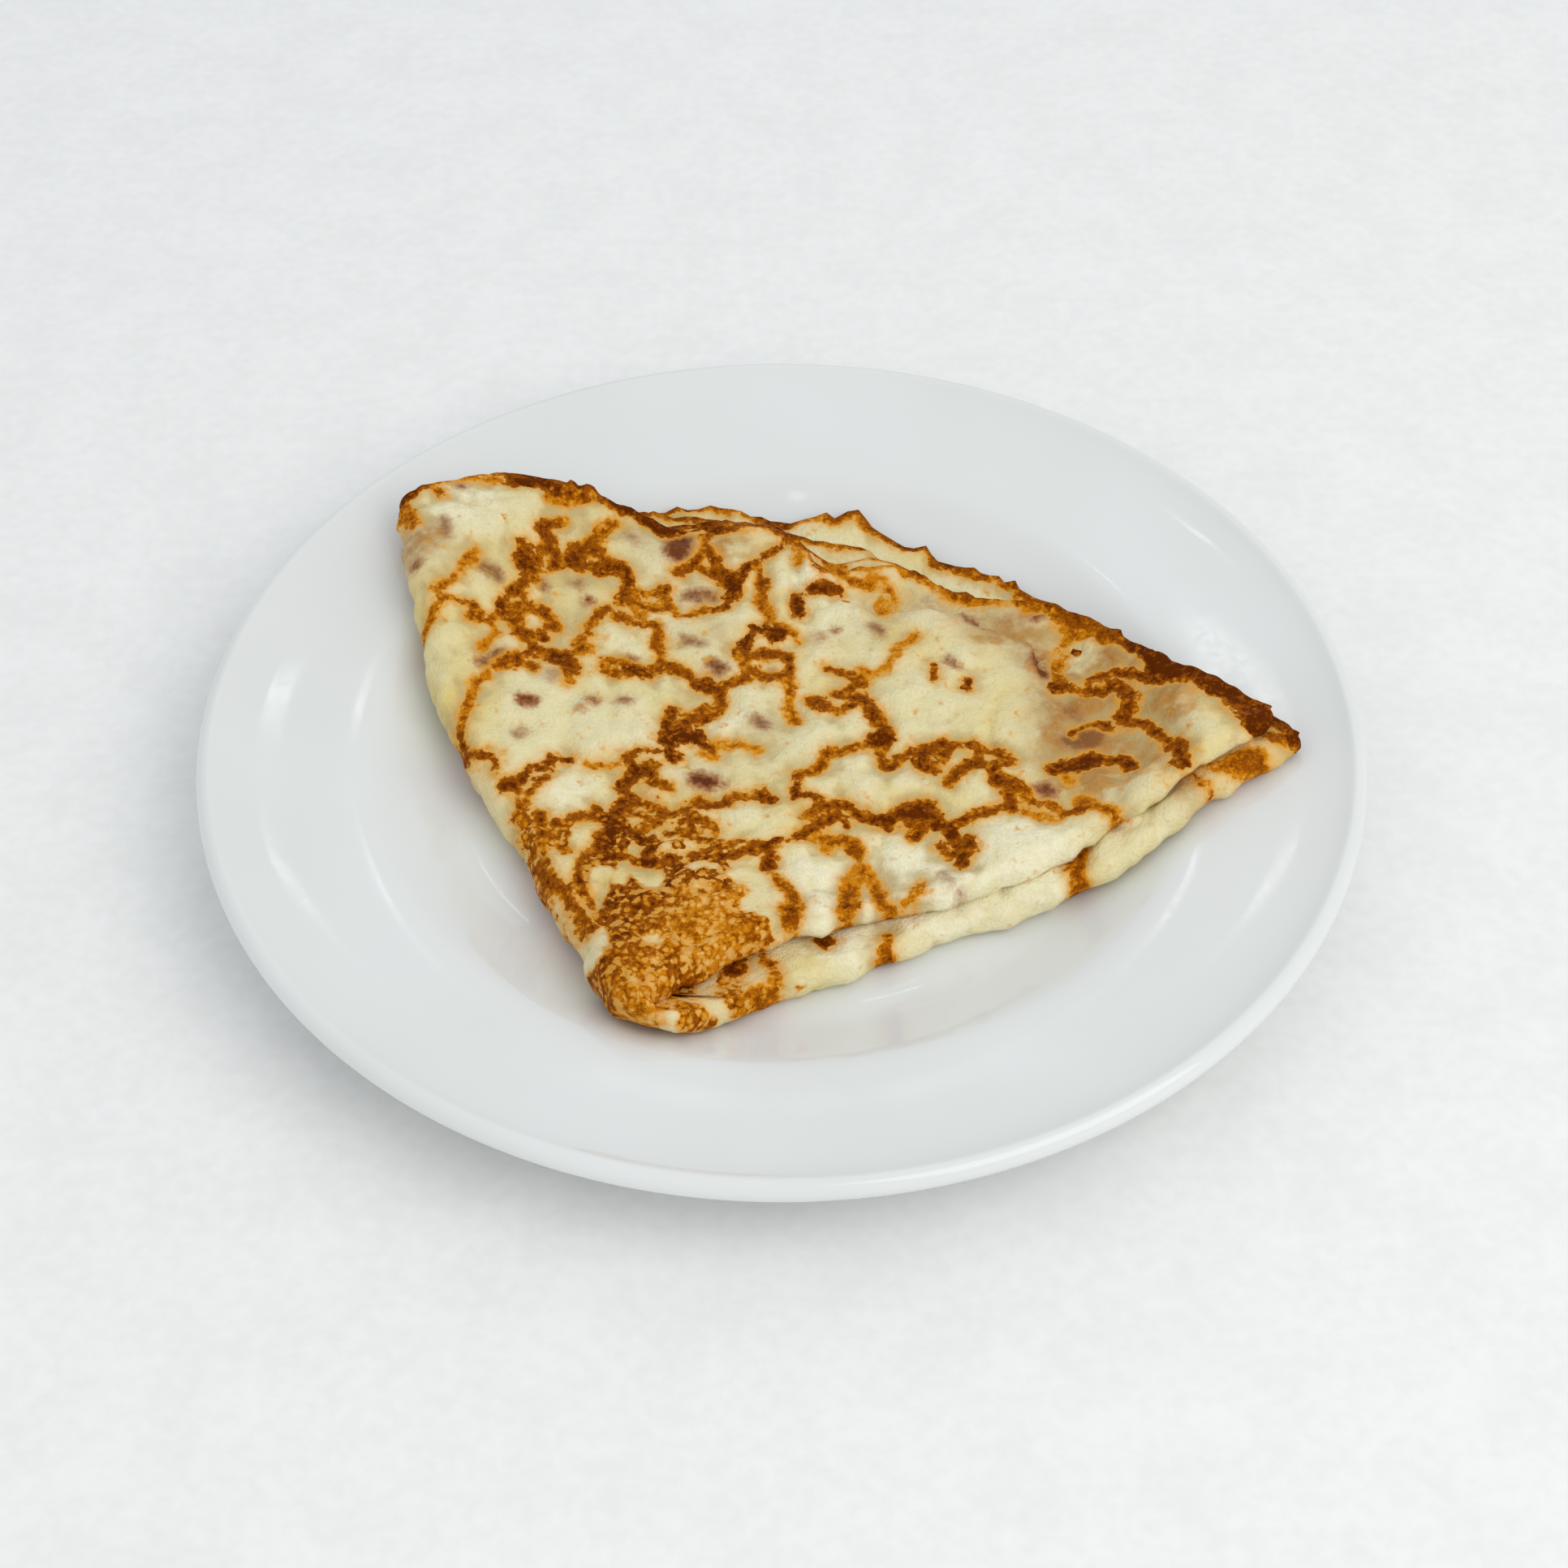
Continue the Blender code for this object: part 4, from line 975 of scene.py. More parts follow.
def inside_marks(plan, marks, width_change):
    """For each point, how far inside the nearest mark it is, and that mark's darkness.

    It is half the mark's width less the distance to its line, in
    millimetres: above zero on a mark and below zero off it.
    """
    deepest = np.full(len(plan), -9.0)
    darkness = np.zeros(len(plan))
    for width, dark, points in marks:
        line = smooth_line(points)
        low, high = line.min(0) - 8, line.max(0) + 8
        near = np.flatnonzero(((plan > low) & (plan < high)).all(1))
        if not len(near):
            continue
        ours = plan[near]
        closest = np.full(len(near), 99.0)
        for start, end in zip(line[:-1], line[1:]):
            run = end - start
            part = np.clip((ours - start) @ run / max(run @ run, 1e-9), 0, 1)
            gap = np.hypot(*(ours - start - part[:, None] * run).T)
            closest = np.minimum(closest, gap)
        inside = width / 2 * width_change[near] + SPREAD - closest
        better = inside > deepest[near]
        darkness[near[better]] = dark
        deepest[near[better]] = inside[better]
    return deepest, darkness


def soft_spots(plan, spots):
    """Sum of round hills, each x, y, radius and strength, held to one."""
    total = sum(s * hill(plan[:, 0], plan[:, 1], (x, y), r) for x, y, r, s in spots)
    return np.clip(total, 0, 1)


# --------------------------------------------------------------------- meshes


def new_piece(name, points, faces, cad_node):
    """An object of the points and faces, riding on the root in place of its solid."""
    mesh = bpy.data.meshes.new(name)
    mesh.from_pydata((points * MM).tolist(), [], faces)
    mesh.update()
    mesh.shade_smooth()
    piece = bpy.data.objects.new(name, mesh)
    bpy.context.scene.collection.objects.link(piece)
    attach(piece, "root")
    if cad_node:
        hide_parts(cad_node)
    return piece


def store(mesh, name, values):
    """Keeps one number for each point of a mesh under a name."""
    attribute = mesh.attributes.new(name, "FLOAT", "POINT")
    attribute.data.foreach_set("value", np.asarray(values, np.float32))


# ------------------------------------------------------------------- dressing


def rim_width(layer, bearing):
    """Width of the browned rim: the table's on the upper layers, and plainer below."""
    lower = 1.4 + 0.9 * (1 - step(bearing, 44, 62))
    return np.where(layer >= 2, along(RIM_WIDTHS, bearing), lower)


def ledge_drop(plan):
    """How far the top layer falls behind the edge of the near flap, in millimetres.

    The drop is LEDGE_FALL past the line and dies away with the distance
    behind it and towards the line's two ends.
    """
    line = smooth_line(LEDGE)
    closest = np.full(len(plan), 99.0)
    behind = np.zeros(len(plan))
    travel = np.zeros(len(plan))
    total = np.concatenate([[0], np.cumsum(np.hypot(*np.diff(line, axis=0).T))])
    for index, (start, end) in enumerate(zip(line[:-1], line[1:])):
        run = end - start
        part = np.clip((plan - start) @ run / (run @ run), 0, 1)
        off = plan - start - part[:, None] * run
        gap = np.hypot(*off.T)
        better = gap < closest
        closest[better] = gap[better]
        side = np.sign(run[0] * off[:, 1] - run[1] * off[:, 0])
        behind[better] = (side * gap)[better]
        travel[better] = (total[index] + part * np.hypot(*run))[better]
    ends = step(travel, 0, 9) * (1 - step(travel, total[-1] - 9, total[-1]))
    return LEDGE_FALL * ends * step(behind, -0.2, 0.9) * (1 - step(behind, 4, 15))


def rim_browning(points, from_edge, layer):
    """How far inside the browned rim a point is, in millimetres, and how dark the rim is."""
    bearing = np.degrees(np.arctan2(points[:, 1] - TIP[1], points[:, 0] - TIP[0]))
    width = rim_width(layer, bearing) * (1 + 0.9 * wave(points, "rim width"))
    inside = width - from_edge + 0.6 * ragged(points, 3.0, 43, 2)
    dark = np.where(layer >= 2, along(RIM_DARKNESS, bearing), LOWER_RIM_DARKNESS)
    dark = dark + 0.45 * wave(points, "rim darkness")
    return inside, np.clip(dark, 0.05, 0.9)


def slot_share(points, columns, rows):
    """Share of the relief that is left on the slot's floor: 1 at its front, 0 further in.

    The floor is kept smooth so that it stays clear of its roof.
    """
    floor = (columns[:, 0] == 1) & (columns[:, 5] > 0.9)
    share = np.where(floor, 1 - step(columns[:, 1], 0.03, 0.12), 1.0)
    share = np.append(np.tile(share, rows), 1.0)
    beyond = np.hypot(points[:, 0] - TIP[0], points[:, 1] - TIP[1])
    return share * np.where(share < 1, step(beyond, 14, 26), 1.0)


def batter_rise(points, mark):
    """Puffs, swells and pebbles of noise, raised between the marks, in millimetres."""
    puffs = np.abs(wave(points, "puffs")) + 0.55 * np.abs(wave(points, "small puffs"))
    swell = 1.5 * puffs - 0.6 + 0.5 * wave(points, "swell") + 0.18 * wave(points, "pebbles")
    return 0.85 * swell + 0.8 * step(-mark, -0.4, 4.5)


def dress_crepe(crepe, points, from_edge, columns, settings):
    """Keeps the marks and fields on the sheet's points, and moves the points by its relief.

    The relief is the rise of the batter, lumps near the raw edge and
    grain on the marks, less the drop behind the ledge. It runs along the
    surface's own normal, dies away on faces that look down and at the
    raw edge, and is held down where the crepe is highest.
    """
    mesh = crepe.data
    rows = len(points) // len(columns)
    layer = np.append(np.tile(columns[:, 0], rows), 3)
    upper = layer >= 2
    wander = np.stack([ragged(points, 3.4, seed, 2) for seed in (11, 21)], 1)
    plan = points[:, :2] + MARK_WANDER * wander
    change = 1 + 0.6 * wave(points, "mark width")
    marks, dark = inside_marks(plan, UPPER_MARKS, change)
    low_marks, low_dark = inside_marks(plan, LOWER_MARKS, change)
    mark = np.where(upper, marks, low_marks)
    dark = np.where(upper, dark, low_dark)
    rim, rim_dark = rim_browning(points, from_edge, layer)
    better = rim > mark
    mark = np.where(better, rim, mark)
    dark = np.where(better, rim_dark, dark)

    normals = np.empty(len(points) * 3)
    mesh.vertices.foreach_get("normal", normals)
    normals = normals.reshape(-1, 3)
    rise = batter_rise(points, mark)
    lumps = np.clip(wave(points, "lumps"), 0, 1)
    lumps = lumps * step(from_edge, 0.5, 2.0) * (1 - step(from_edge, 3.0, 7.0))
    grained = 0.30 * np.clip(wave(points, "grain"), 0, 1) * step(mark, -0.3, 0.8)
    relief = settings.relief * (rise + 0.9 * lumps + grained)
    relief = relief - ledge_drop(points[:, :2]) * (layer == 3)
    relief = relief * step(normals[:, 2], -0.8, -0.3) * step(np.abs(from_edge), 0.0, 1.5)
    relief = relief * (1 - HELD_SHARE * step(points[:, 2], *HELD_HEIGHTS))
    relief = relief * slot_share(points, columns, rows)
    moved = points + relief[:, None] * normals
    mesh.vertices.foreach_set("co", (moved * MM).ravel())
    mesh.update()

    isles, low_isles = (inside_marks(plan, table, change)[0] for table in (ISLANDS, LOWER_ISLANDS))
    between = 1 - step(np.where(upper, isles, low_isles), -0.9, 0.5)
    blisters, sore = inside_marks(plan, BLISTERS_AND_LEDGE_SHADOW, np.ones(len(points)))
    blush = np.where(upper, soft_spots(plan, BLUSHES_AND_SPINE_SHADE), soft_spots(plan, LOWER_BLUSHES))
    for name, values in (
        ("mark", mark),
        ("dark", dark + 0.28 * wave(points, "mark darkness")),
        ("lace", soft_spots(plan, LACES) * between),
        ("gold", soft_spots(plan, GOLDS) * (0.25 + 0.75 * between)),
        ("baked", soft_spots(plan, BAKED_AND_SPINE_SHADE) * upper * (0.1 + 0.9 * between)),
        ("sear", soft_spots(plan, SEARS)),
        ("white", soft_spots(plan, WHITES_AND_SHEEN)),
        ("blush", blush),
        ("blister", np.where(upper, blisters, NO_MARK)),
        ("sore", sore),
        # Random yellow tone, with painted light and shade: the low places of the relief are painted
        # yellower and darker, the swells paler.
        ("yolk", 0.42 + 0.25 * wave(points, "yolk") - 0.30 * (rise - MEAN_RISE)),
        # Painted shade: this value is high in the low places of the relief, where shade falls, and
        # darkens the batter there.
        ("painted_hollow_shade", 0.5 - 0.8 * (rise - MEAN_RISE)),
    ):
        store(mesh, name, values)


# ------------------------------------------------------------------ materials


def new_surface(name):
    """A material with an empty node tree but for its shader and output."""
    surface = bpy.data.materials.new(name)
    surface.use_nodes = True
    tree = surface.node_tree
    return surface, tree, tree.nodes["Principled BSDF"]


def add(tree, kind, values=(), **settings):
    """A node, with its settings, and its inputs linked or set by name or number."""
    made = tree.nodes.new(kind)
    for key, value in settings.items():
        setattr(made, key, value)
    for key, value in dict(values).items():
        plug(tree, made.inputs[key], value)
    return made


def plug(tree, socket, value):
    """Links a socket to another, or sets its value."""
    if isinstance(value, bpy.types.NodeSocket):
        tree.links.new(value, socket)
    elif socket.type == "RGBA" and len(value) == 3:
        socket.default_value = (*value, 1)
    else:
        socket.default_value = value


def calc(tree, operation, first, second, clamp=False):
    """One sum of two numbers."""
    values = {0: first, 1: second}
    return add(tree, "ShaderNodeMath", values, operation=operation, use_clamp=clamp).outputs[0]


def plus(tree, first, second, clamp=False):
    """first + second, held between 0 and 1 if it is clamped."""
    return calc(tree, "ADD", first, second, clamp)


def minus(tree, first, second):
    """first - second."""
    return calc(tree, "SUBTRACT", first, second)


def times(tree, first, second):
    """first * second."""
    return calc(tree, "MULTIPLY", first, second)


def sway(tree, noise_value, amount):
    """Noise from 0 to 1 turned to swing by half the amount to either side of nothing."""
    return times(tree, minus(tree, noise_value, HALF), amount)


def ease(tree, value, low, high, start=0.0, end=1.0):
    """start up to low, end past high, eased between."""
    made = add(tree, "ShaderNodeMapRange", {0: value, 1: low, 2: high, 3: start, 4: end})
    made.interpolation_type = "SMOOTHSTEP"
    return made.outputs[0]


def blend(tree, share, first, second):
    """One colour laid over another by a share."""
    return add(tree, "ShaderNodeMix", {0: share, 6: first, 7: second}, data_type="RGBA").outputs[2]


def cloud(tree, place, size, detail=2.0, rough=0.5, output="Fac"):
    """Noise from 0 to 1 with features of a size in millimetres."""
    values = {"Vector": place, "Scale": 1 / (size * MM), "Detail": detail, "Roughness": rough}
    return add(tree, "ShaderNodeTexNoise", values).outputs[output]


def scattered(tree, place, size, **settings):
    """Scattered points a size in millimetres apart, as a Voronoi node."""
    values = {"Vector": place, "Scale": 1 / (size * MM)}
    return add(tree, "ShaderNodeTexVoronoi", values, **settings)


def shift(tree, place, by, millimetres):
    """A place moved by a vector times a length in millimetres."""
    values = {0: by, "Scale": millimetres * MM}
    drift = add(tree, "ShaderNodeVectorMath", values, operation="SCALE").outputs[0]
    return add(tree, "ShaderNodeVectorMath", {0: place, 1: drift}, operation="ADD").outputs[0]


def bumped(tree, shader, height, strength, millimetres):
    """Tilts the shader's normal by a height."""
    values = {"Strength": strength, "Distance": millimetres * MM, "Height": height}
    bump = add(tree, "ShaderNodeBump", values).outputs[0]
    tree.links.new(bump, shader.inputs["Normal"])


def group_socket(group, name, kind, way, default=None):
    """A named socket of a node group."""
    made = group.interface.new_socket(name, in_out=way, socket_type=kind)
    if default is not None:
        made.default_value = default
    return made


def grain_group():
    """Node group: fine grain from noise at two sizes, as one value about a half."""
    if "fine_grain" in bpy.data.node_groups:
        return bpy.data.node_groups["fine_grain"]
    group = bpy.data.node_groups.new("fine_grain", "ShaderNodeTree")
    group_socket(group, "Place", "NodeSocketVector", "INPUT")
    group_socket(group, "Coarse", "NodeSocketFloat", "INPUT", 900.0)
    group_socket(group, "Fine", "NodeSocketFloat", "INPUT", 2600.0)
    group_socket(group, "Grain", "NodeSocketFloat", "OUTPUT")
    start = group.nodes.new("NodeGroupInput")
    end = group.nodes.new("NodeGroupOutput")
    halves = []
    for name, detail in (("Fine", 2.0), ("Coarse", 3.0)):
        values = {"Vector": start.outputs["Place"], "Scale": start.outputs[name], "Detail": detail}
        halves.append(times(group, add(group, "ShaderNodeTexNoise", values).outputs[0], HALF))
    group.links.new(plus(group, *halves), end.inputs["Grain"])
    return group


def place_of(tree):
    """Object coordinates."""
    return add(tree, "ShaderNodeTexCoord").outputs["Object"]


def kept(tree, name):
    """A number kept on the mesh's points."""
    return add(tree, "ShaderNodeAttribute", attribute_name=name).outputs["Fac"]


def grain(tree, place, coarse, fine):
    """Fine grain with features of two sizes in millimetres."""
    made = add(tree, "ShaderNodeGroup")
    made.node_tree = grain_group()
    tree.links.new(place, made.inputs["Place"])
    made.inputs["Coarse"].default_value = 1 / (coarse * MM)
    made.inputs["Fine"].default_value = 1 / (fine * MM)
    return made.outputs["Grain"]


def pale_batter(tree, settings, place, warped, mark, noises):
    """Colour of the batter between the marks, its fine grain and its crumple, with painted shade in the
    hollows of the relief.
    """
    fine, broad = noises
    # Fields are broken up by the broad noise, and are nothing where they are not marked.
    breaks = minus(tree, times(tree, broad, 2.4), 0.2)
    crumple = cloud(tree, warped, CRUMPLE_SIZE, 3.0, 0.55)
    patch = cloud(tree, place, PATCH_SIZE)
    # Partly painted light and shade: the yolk value is higher in the low places of the relief, which
    # turns them yellower and darker.
    yellow = plus(tree, kept(tree, "yolk"), sway(tree, patch, 1.6), True)
    batter = blend(tree, yellow, settings.cream, settings.yellow)
    patchy = ease(tree, cloud(tree, place, BLUSH_SIZE, 3.0), 0.30, 0.62, 0.45, 1.0)
    batter = blend(tree, times(tree, kept(tree, "blush"), patchy), batter, settings.blush)
    white = ease(tree, times(tree, kept(tree, "white"), breaks), 0.1, 1.0)
    batter = blend(tree, white, batter, settings.white)
    gold = ease(tree, times(tree, kept(tree, "gold"), breaks), 0.1, 0.7, 0.0, 0.95)
    batter = blend(tree, gold, batter, settings.toast)
    warmth = ease(tree, plus(tree, mark, sway(tree, broad, 3.0)), -3.0, 0.0, 0.0, 0.5)
    batter = blend(tree, warmth, batter, settings.toast)
    baked = ease(tree, times(tree, kept(tree, "baked"), breaks), 0.05, 0.8, 0.0, 0.9)
    batter = blend(tree, baked, batter, settings.baked)
    mottled = grain(tree, place, 1.6, 0.55)
    batter = blend(tree, ease(tree, mottled, 0.38, 0.62, 0.16, 0.0), batter, GRAIN_COLOUR)
    # Painted shade: the low places of the relief are darkened towards the shade colour.
    painted_hollow_shade = plus(tree, kept(tree, "painted_hollow_shade"), sway(tree, crumple, 0.9))
    batter = blend(tree, ease(tree, painted_hollow_shade, 0.2, 0.95, 0.0, 0.75), batter, settings.shade)
    sore = kept(tree, "sore")
    # The blister marks hold one painted shadow line behind the near flap's edge.
    blister = plus(tree, kept(tree, "blister"), sway(tree, fine, 2.6))
    for low, high, colour in ((-1.4, 0.4, BLISTER_COLOUR), (-0.2, 1.2, PIT_COLOUR)):
        batter = blend(tree, times(tree, ease(tree, blister, low, high), sore), batter, colour)
    return batter, mottled, crumple


def browned_batter(tree, settings, place, nudged, edge, lace):
    """Colour of the browned marks, orange at the edge and dark in the middle, and its pips."""
    sear = times(tree, plus(tree, times(tree, kept(tree, "sear"), 0.70), 0.26), lace)
    dark = calc(tree, "MAXIMUM", kept(tree, "dark"), sear)
    pips = scattered(tree, nudged, PIP_SIZE)
    apart = add(tree, "ShaderNodeSeparateColor", {"Color": pips.outputs["Color"]}).outputs[0]
    closer = minus(tree, pips.outputs["Distance"], times(tree, lace, 0.06))
    chosen = plus(tree, apart, times(tree, lace, 0.12))
    round_pips = ease(tree, closer, 0.12, 0.55, 1.0, 0.0)
    pip = times(tree, round_pips, ease(tree, chosen, 0.25, 0.85))
    core = ease(tree, edge, 0.0, 1.5, 0.0, 0.6)
    core = plus(tree, core, times(tree, minus(tree, dark, 0.16), 1.1))
    core = plus(tree, core, sway(tree, cloud(tree, place, 0.5, 2.0, 0.6), 1.5))
    core = plus(tree, core, sway(tree, cloud(tree, nudged, 1.5), 1.6))
    core = minus(tree, core, times(tree, pip, plus(tree, times(tree, lace, 0.55), 0.65)))
    colour = settings.toast
    for low, high, darker in (
        (-0.95, -0.45, settings.golden), (-0.45, 0.0, settings.orange),
        (0.05, 0.75, settings.brown), (0.75, 1.35, settings.burnt),
    ):
        colour = blend(tree, ease(tree, core, low, high), colour, darker)
    return colour, pip


def crepe_surface(settings):
    """Cooked batter: cream to yellow, blushed blisters, browned marks and close lace, with painted
    shade in the hollows of the relief.
    """
    surface, tree, shader = new_surface("cooked_batter")
    place = place_of(tree)
    wander = cloud(tree, place, 1.9, output="Color")
    values = {0: wander, 1: (HALF, HALF, HALF)}
    wander = add(tree, "ShaderNodeVectorMath", values, operation="SUBTRACT").outputs[0]
    warped = shift(tree, place, wander, 1.4)
    nudged = shift(tree, place, wander, 1.0)
    fine = cloud(tree, place, 0.9, 3.0, 0.6)
    broad = cloud(tree, place, 3.4)
    # How far inside a browned mark, in millimetres, or inside the walls of the close lace.
    mark = kept(tree, "mark")
    lace = kept(tree, "lace")
    walls = scattered(tree, warped, LACE_SIZE, feature="DISTANCE_TO_EDGE").outputs["Distance"]
    reach = ease(tree, plus(tree, lace, sway(tree, broad, 1.6)), 0.12, 0.85, -1.2, 0.60)
    depth = calc(tree, "MAXIMUM", mark, plus(tree, times(tree, walls, -LACE_SIZE), reach))
    scallop = scattered(tree, place, SCALLOP_SIZE).outputs["Distance"]
    rough = plus(tree, sway(tree, fine, 1.6), times(tree, minus(tree, 0.42, scallop), 0.9))
    edge = plus(tree, depth, plus(tree, rough, sway(tree, broad, 2.2)))
    browned = ease(tree, edge, -0.15, 0.15)
    halo = times(tree, ease(tree, edge, -1.25, 0.05), 0.85)
    batter, mottled, crumple = pale_batter(tree, settings, place, warped, mark, (fine, broad))
    golden = blend(tree, halo, batter, settings.golden)
    toasted, pip = browned_batter(tree, settings, place, nudged, edge, lace)
    colour = blend(tree, browned, golden, toasted)
    pores = cloud(tree, place, 0.55, 3.0, 0.65)
    height = plus(tree, times(tree, pores, 0.30), times(tree, crumple, 0.60))
    height = plus(tree, height, times(tree, times(tree, pip, browned), 0.25))
    bumped(tree, shader, height, 1.0, 0.8)
    smooth, dull = settings.roughness - 0.10, settings.roughness + 0.14
    for name, value in (
        ("Base Color", colour),
        ("Roughness", ease(tree, mottled, 0.3, 0.7, smooth, dull)),
        ("Specular IOR Level", ease(tree, browned, 0.0, 1.0, 0.14, 0.02)),
        ("Specular Tint", (1.0, 0.84, 0.60)),
        ("Subsurface Weight", 0.06),
        ("Subsurface Radius", (1.0, 0.6, 0.3)),
        ("Subsurface Scale", 1.5 * MM),
    ):
        plug(tree, shader.inputs[name], value)
    return surface


def glaze_surface(settings):
    """Glazed porcelain: nearly white, with the faintest cloud, specks and waviness."""
    surface, tree, shader = new_surface("porcelain_glaze")
    place = place_of(tree)
    clouds = ease(tree, cloud(tree, place, 45.0), 0.3, 0.7)
    tint = blend(tree, clouds, settings.glaze, settings.glaze_shade)
    specks = scattered(tree, place, SPECK_SIZE).outputs["Distance"]
    tint = blend(tree, ease(tree, specks, 0.012, 0.022, 0.75, 0.0), tint, SPECK_COLOUR)
    smooth, dull = settings.roughness - 0.03, settings.roughness + 0.03
    rough = ease(tree, grain(tree, place, 6.0, 1.5), 0.3, 0.7, smooth, dull)
    bumped(tree, shader, cloud(tree, place, 26.0, 1.0), 0.25, 0.4)
    for name, value in (("Base Color", tint), ("Roughness", rough), ("IOR", 1.52)):
        plug(tree, shader.inputs[name], value)
    return surface


def crumb_surface():
    """Browned crumb: dark orange-brown with fine grain."""
    surface, tree, shader = new_surface("browned_crumb")
    place = place_of(tree)
    mottled = grain(tree, place, 0.5, 0.2)
    colour = blend(tree, ease(tree, mottled, 0.35, 0.65), CRUMB_DARK, CRUMB_LIGHT)
    plug(tree, shader.inputs["Base Color"], colour)
    plug(tree, shader.inputs["Roughness"], ease(tree, mottled, 0.3, 0.7, 0.5, 0.7))
    return surface


# ------------------------------------------------------------------- settings


def colour(name, description, default):
    """A colour setting."""
    return bpy.props.FloatVectorProperty(
        name=name, description=description, subtype="COLOR", size=3, min=0, max=1, default=default,
    )


def number(name, description, default, low=0.0, high=10.0, **more):
    """A number setting."""
    return bpy.props.FloatProperty(
        name=name, description=description, default=default, min=low, max=high, **more,
    )


class PlateSettings(bpy.types.PropertyGroup):
    segments: bpy.props.IntProperty(
        name="Segments", description="Segments round the plate", default=288, min=48, max=512,
    )
    glaze: colour("Glaze", "Colour of the glaze", (0.80, 0.82, 0.81))
    glaze_shade: colour("Glaze shade", "Colour of the faint clouds in the glaze", (0.775, 0.79, 0.775))
    roughness: number("Roughness", "Roughness of the glaze", 0.08, 0.03, 1)


class CrepeSettings(bpy.types.PropertyGroup):
    relief: number("Relief", "Height of the small swells over the sheet, in millimetres", 1.0, 0, 2)
    cream: colour("Cream", "Palest batter", (0.85, 0.765, 0.46))
    yellow: colour("Yellow", "Yellowest batter", (0.78, 0.60, 0.18))
    # Painted shade laid into the low places of the relief, not a duller batter.
    shade: colour("Hollows", "Duller batter in the hollows", (0.54, 0.41, 0.18))
    blush: colour("Blush", "Thin, blushed blisters", (0.46, 0.27, 0.13))
    white: colour("White", "Whitest batter", (0.93, 0.87, 0.61))
    toast: colour(
        "Toast", "Lightly toasted batter in the lace and around the marks", (0.84, 0.46, 0.145),
    )
    baked: colour("Baked", "Batter baked through to golden brown", (0.46, 0.20, 0.028))
    golden: colour("Golden", "Golden batter beside the browned marks", (0.76, 0.345, 0.035))
    orange: colour("Orange", "Edge of the browned marks", (0.64, 0.222, 0.006))
    brown: colour("Brown", "Middle of the browned marks", (0.31, 0.078, 0.002))
    burnt: colour("Burnt", "Darkest places of the browned marks", (0.115, 0.021, 0.0005))
    roughness: number("Roughness", "Roughness of the batter", 0.46, 0.1, 1)


class StageSettings(bpy.types.PropertyGroup):
    floor: colour("Floor", "Colour of the floor", (0.94, 0.94, 0.93))
    key: number("Key light", "Power of the large soft light", 4.2, high=100, unit="POWER")
    pane: number("Panes", "Brightness of the small panes that glint in the glaze", 3.5)
    sky: number("Surroundings", "Brightness of the surroundings", 0.76)


# ------------------------------------------------------------------ operators


class CREPE_OT_plate(bpy.types.Operator):
    """Turn the plate's profile and give it its glaze"""

    bl_idname = "crepe.plate"
    bl_label = "Plate"

    def execute(self, context):
        settings = context.scene.plate_settings
        points, quads, triangles = turned(plate_profile(), settings.segments)
        faces = face_list(quads, triangles)
        plate = new_piece("plate_glazed", points, faces, "plate")
        plate.data.materials.append(glaze_surface(settings))
        return {"FINISHED"}


class CREPE_OT_crepe(bpy.types.Operator):
    """Fold the sheet, raise its relief and brown it"""

    bl_idname = "crepe.crepe"
    bl_label = "Folded crepe"

    def execute(self, context):
        settings = context.scene.crepe_settings
        points, quads, triangles, from_edge, columns = sheet_mesh()
        faces = face_list(quads, triangles)
        crepe = new_piece("crepe_folded", points, faces, "crepe")
        dress_crepe(crepe, points, from_edge, columns, settings)
        crepe.data.materials.append(crepe_surface(settings))
        return {"FINISHED"}


class CREPE_OT_crumb(bpy.types.Operator):
    """Drop a browned crumb in the well"""

    bl_idname = "crepe.crumb"
    bl_label = "Crumb"

    def execute(self, context):
        angles = np.linspace(0, np.pi, 12)
        points, quads, triangles = turned(np.stack([np.sin(angles), np.cos(angles)], 1), 18)
        size = np.array(CRUMB_HALF_SIZE) * (1 + 0.35 * ragged(points, 0.6, 81, 2))[:, None]
        points = points * size + np.array([*CRUMB_PLACE, 0])
        radius = np.hypot(points[:, 0], points[:, 1])
        climb = np.clip(radius - WELL_RADIUS, 0, None) * CRUMB_CLIMB
        points[:, 2] += WELL_HEIGHT + CRUMB_LIFT + climb
        crumb = new_piece("crumb", points, face_list(quads, triangles), None)
        crumb.data.materials.append(crumb_surface())
        return {"FINISHED"}


def soft_light(name, place, size, power, colour):
    """A square area light that looks at the middle of the plate."""
    lamp = bpy.data.lights.new(name, "AREA")
    lamp.shape = "RECTANGLE"
    lamp.size, lamp.size_y = size
    lamp.energy = power
    lamp.color = colour
    light = bpy.data.objects.new(name, lamp)
    light.location = place
    light.rotation_euler = Vector((-place[0], -place[1], -place[2])).to_track_quat("-Z", "Y").to_euler()
    bpy.context.scene.collection.objects.link(light)


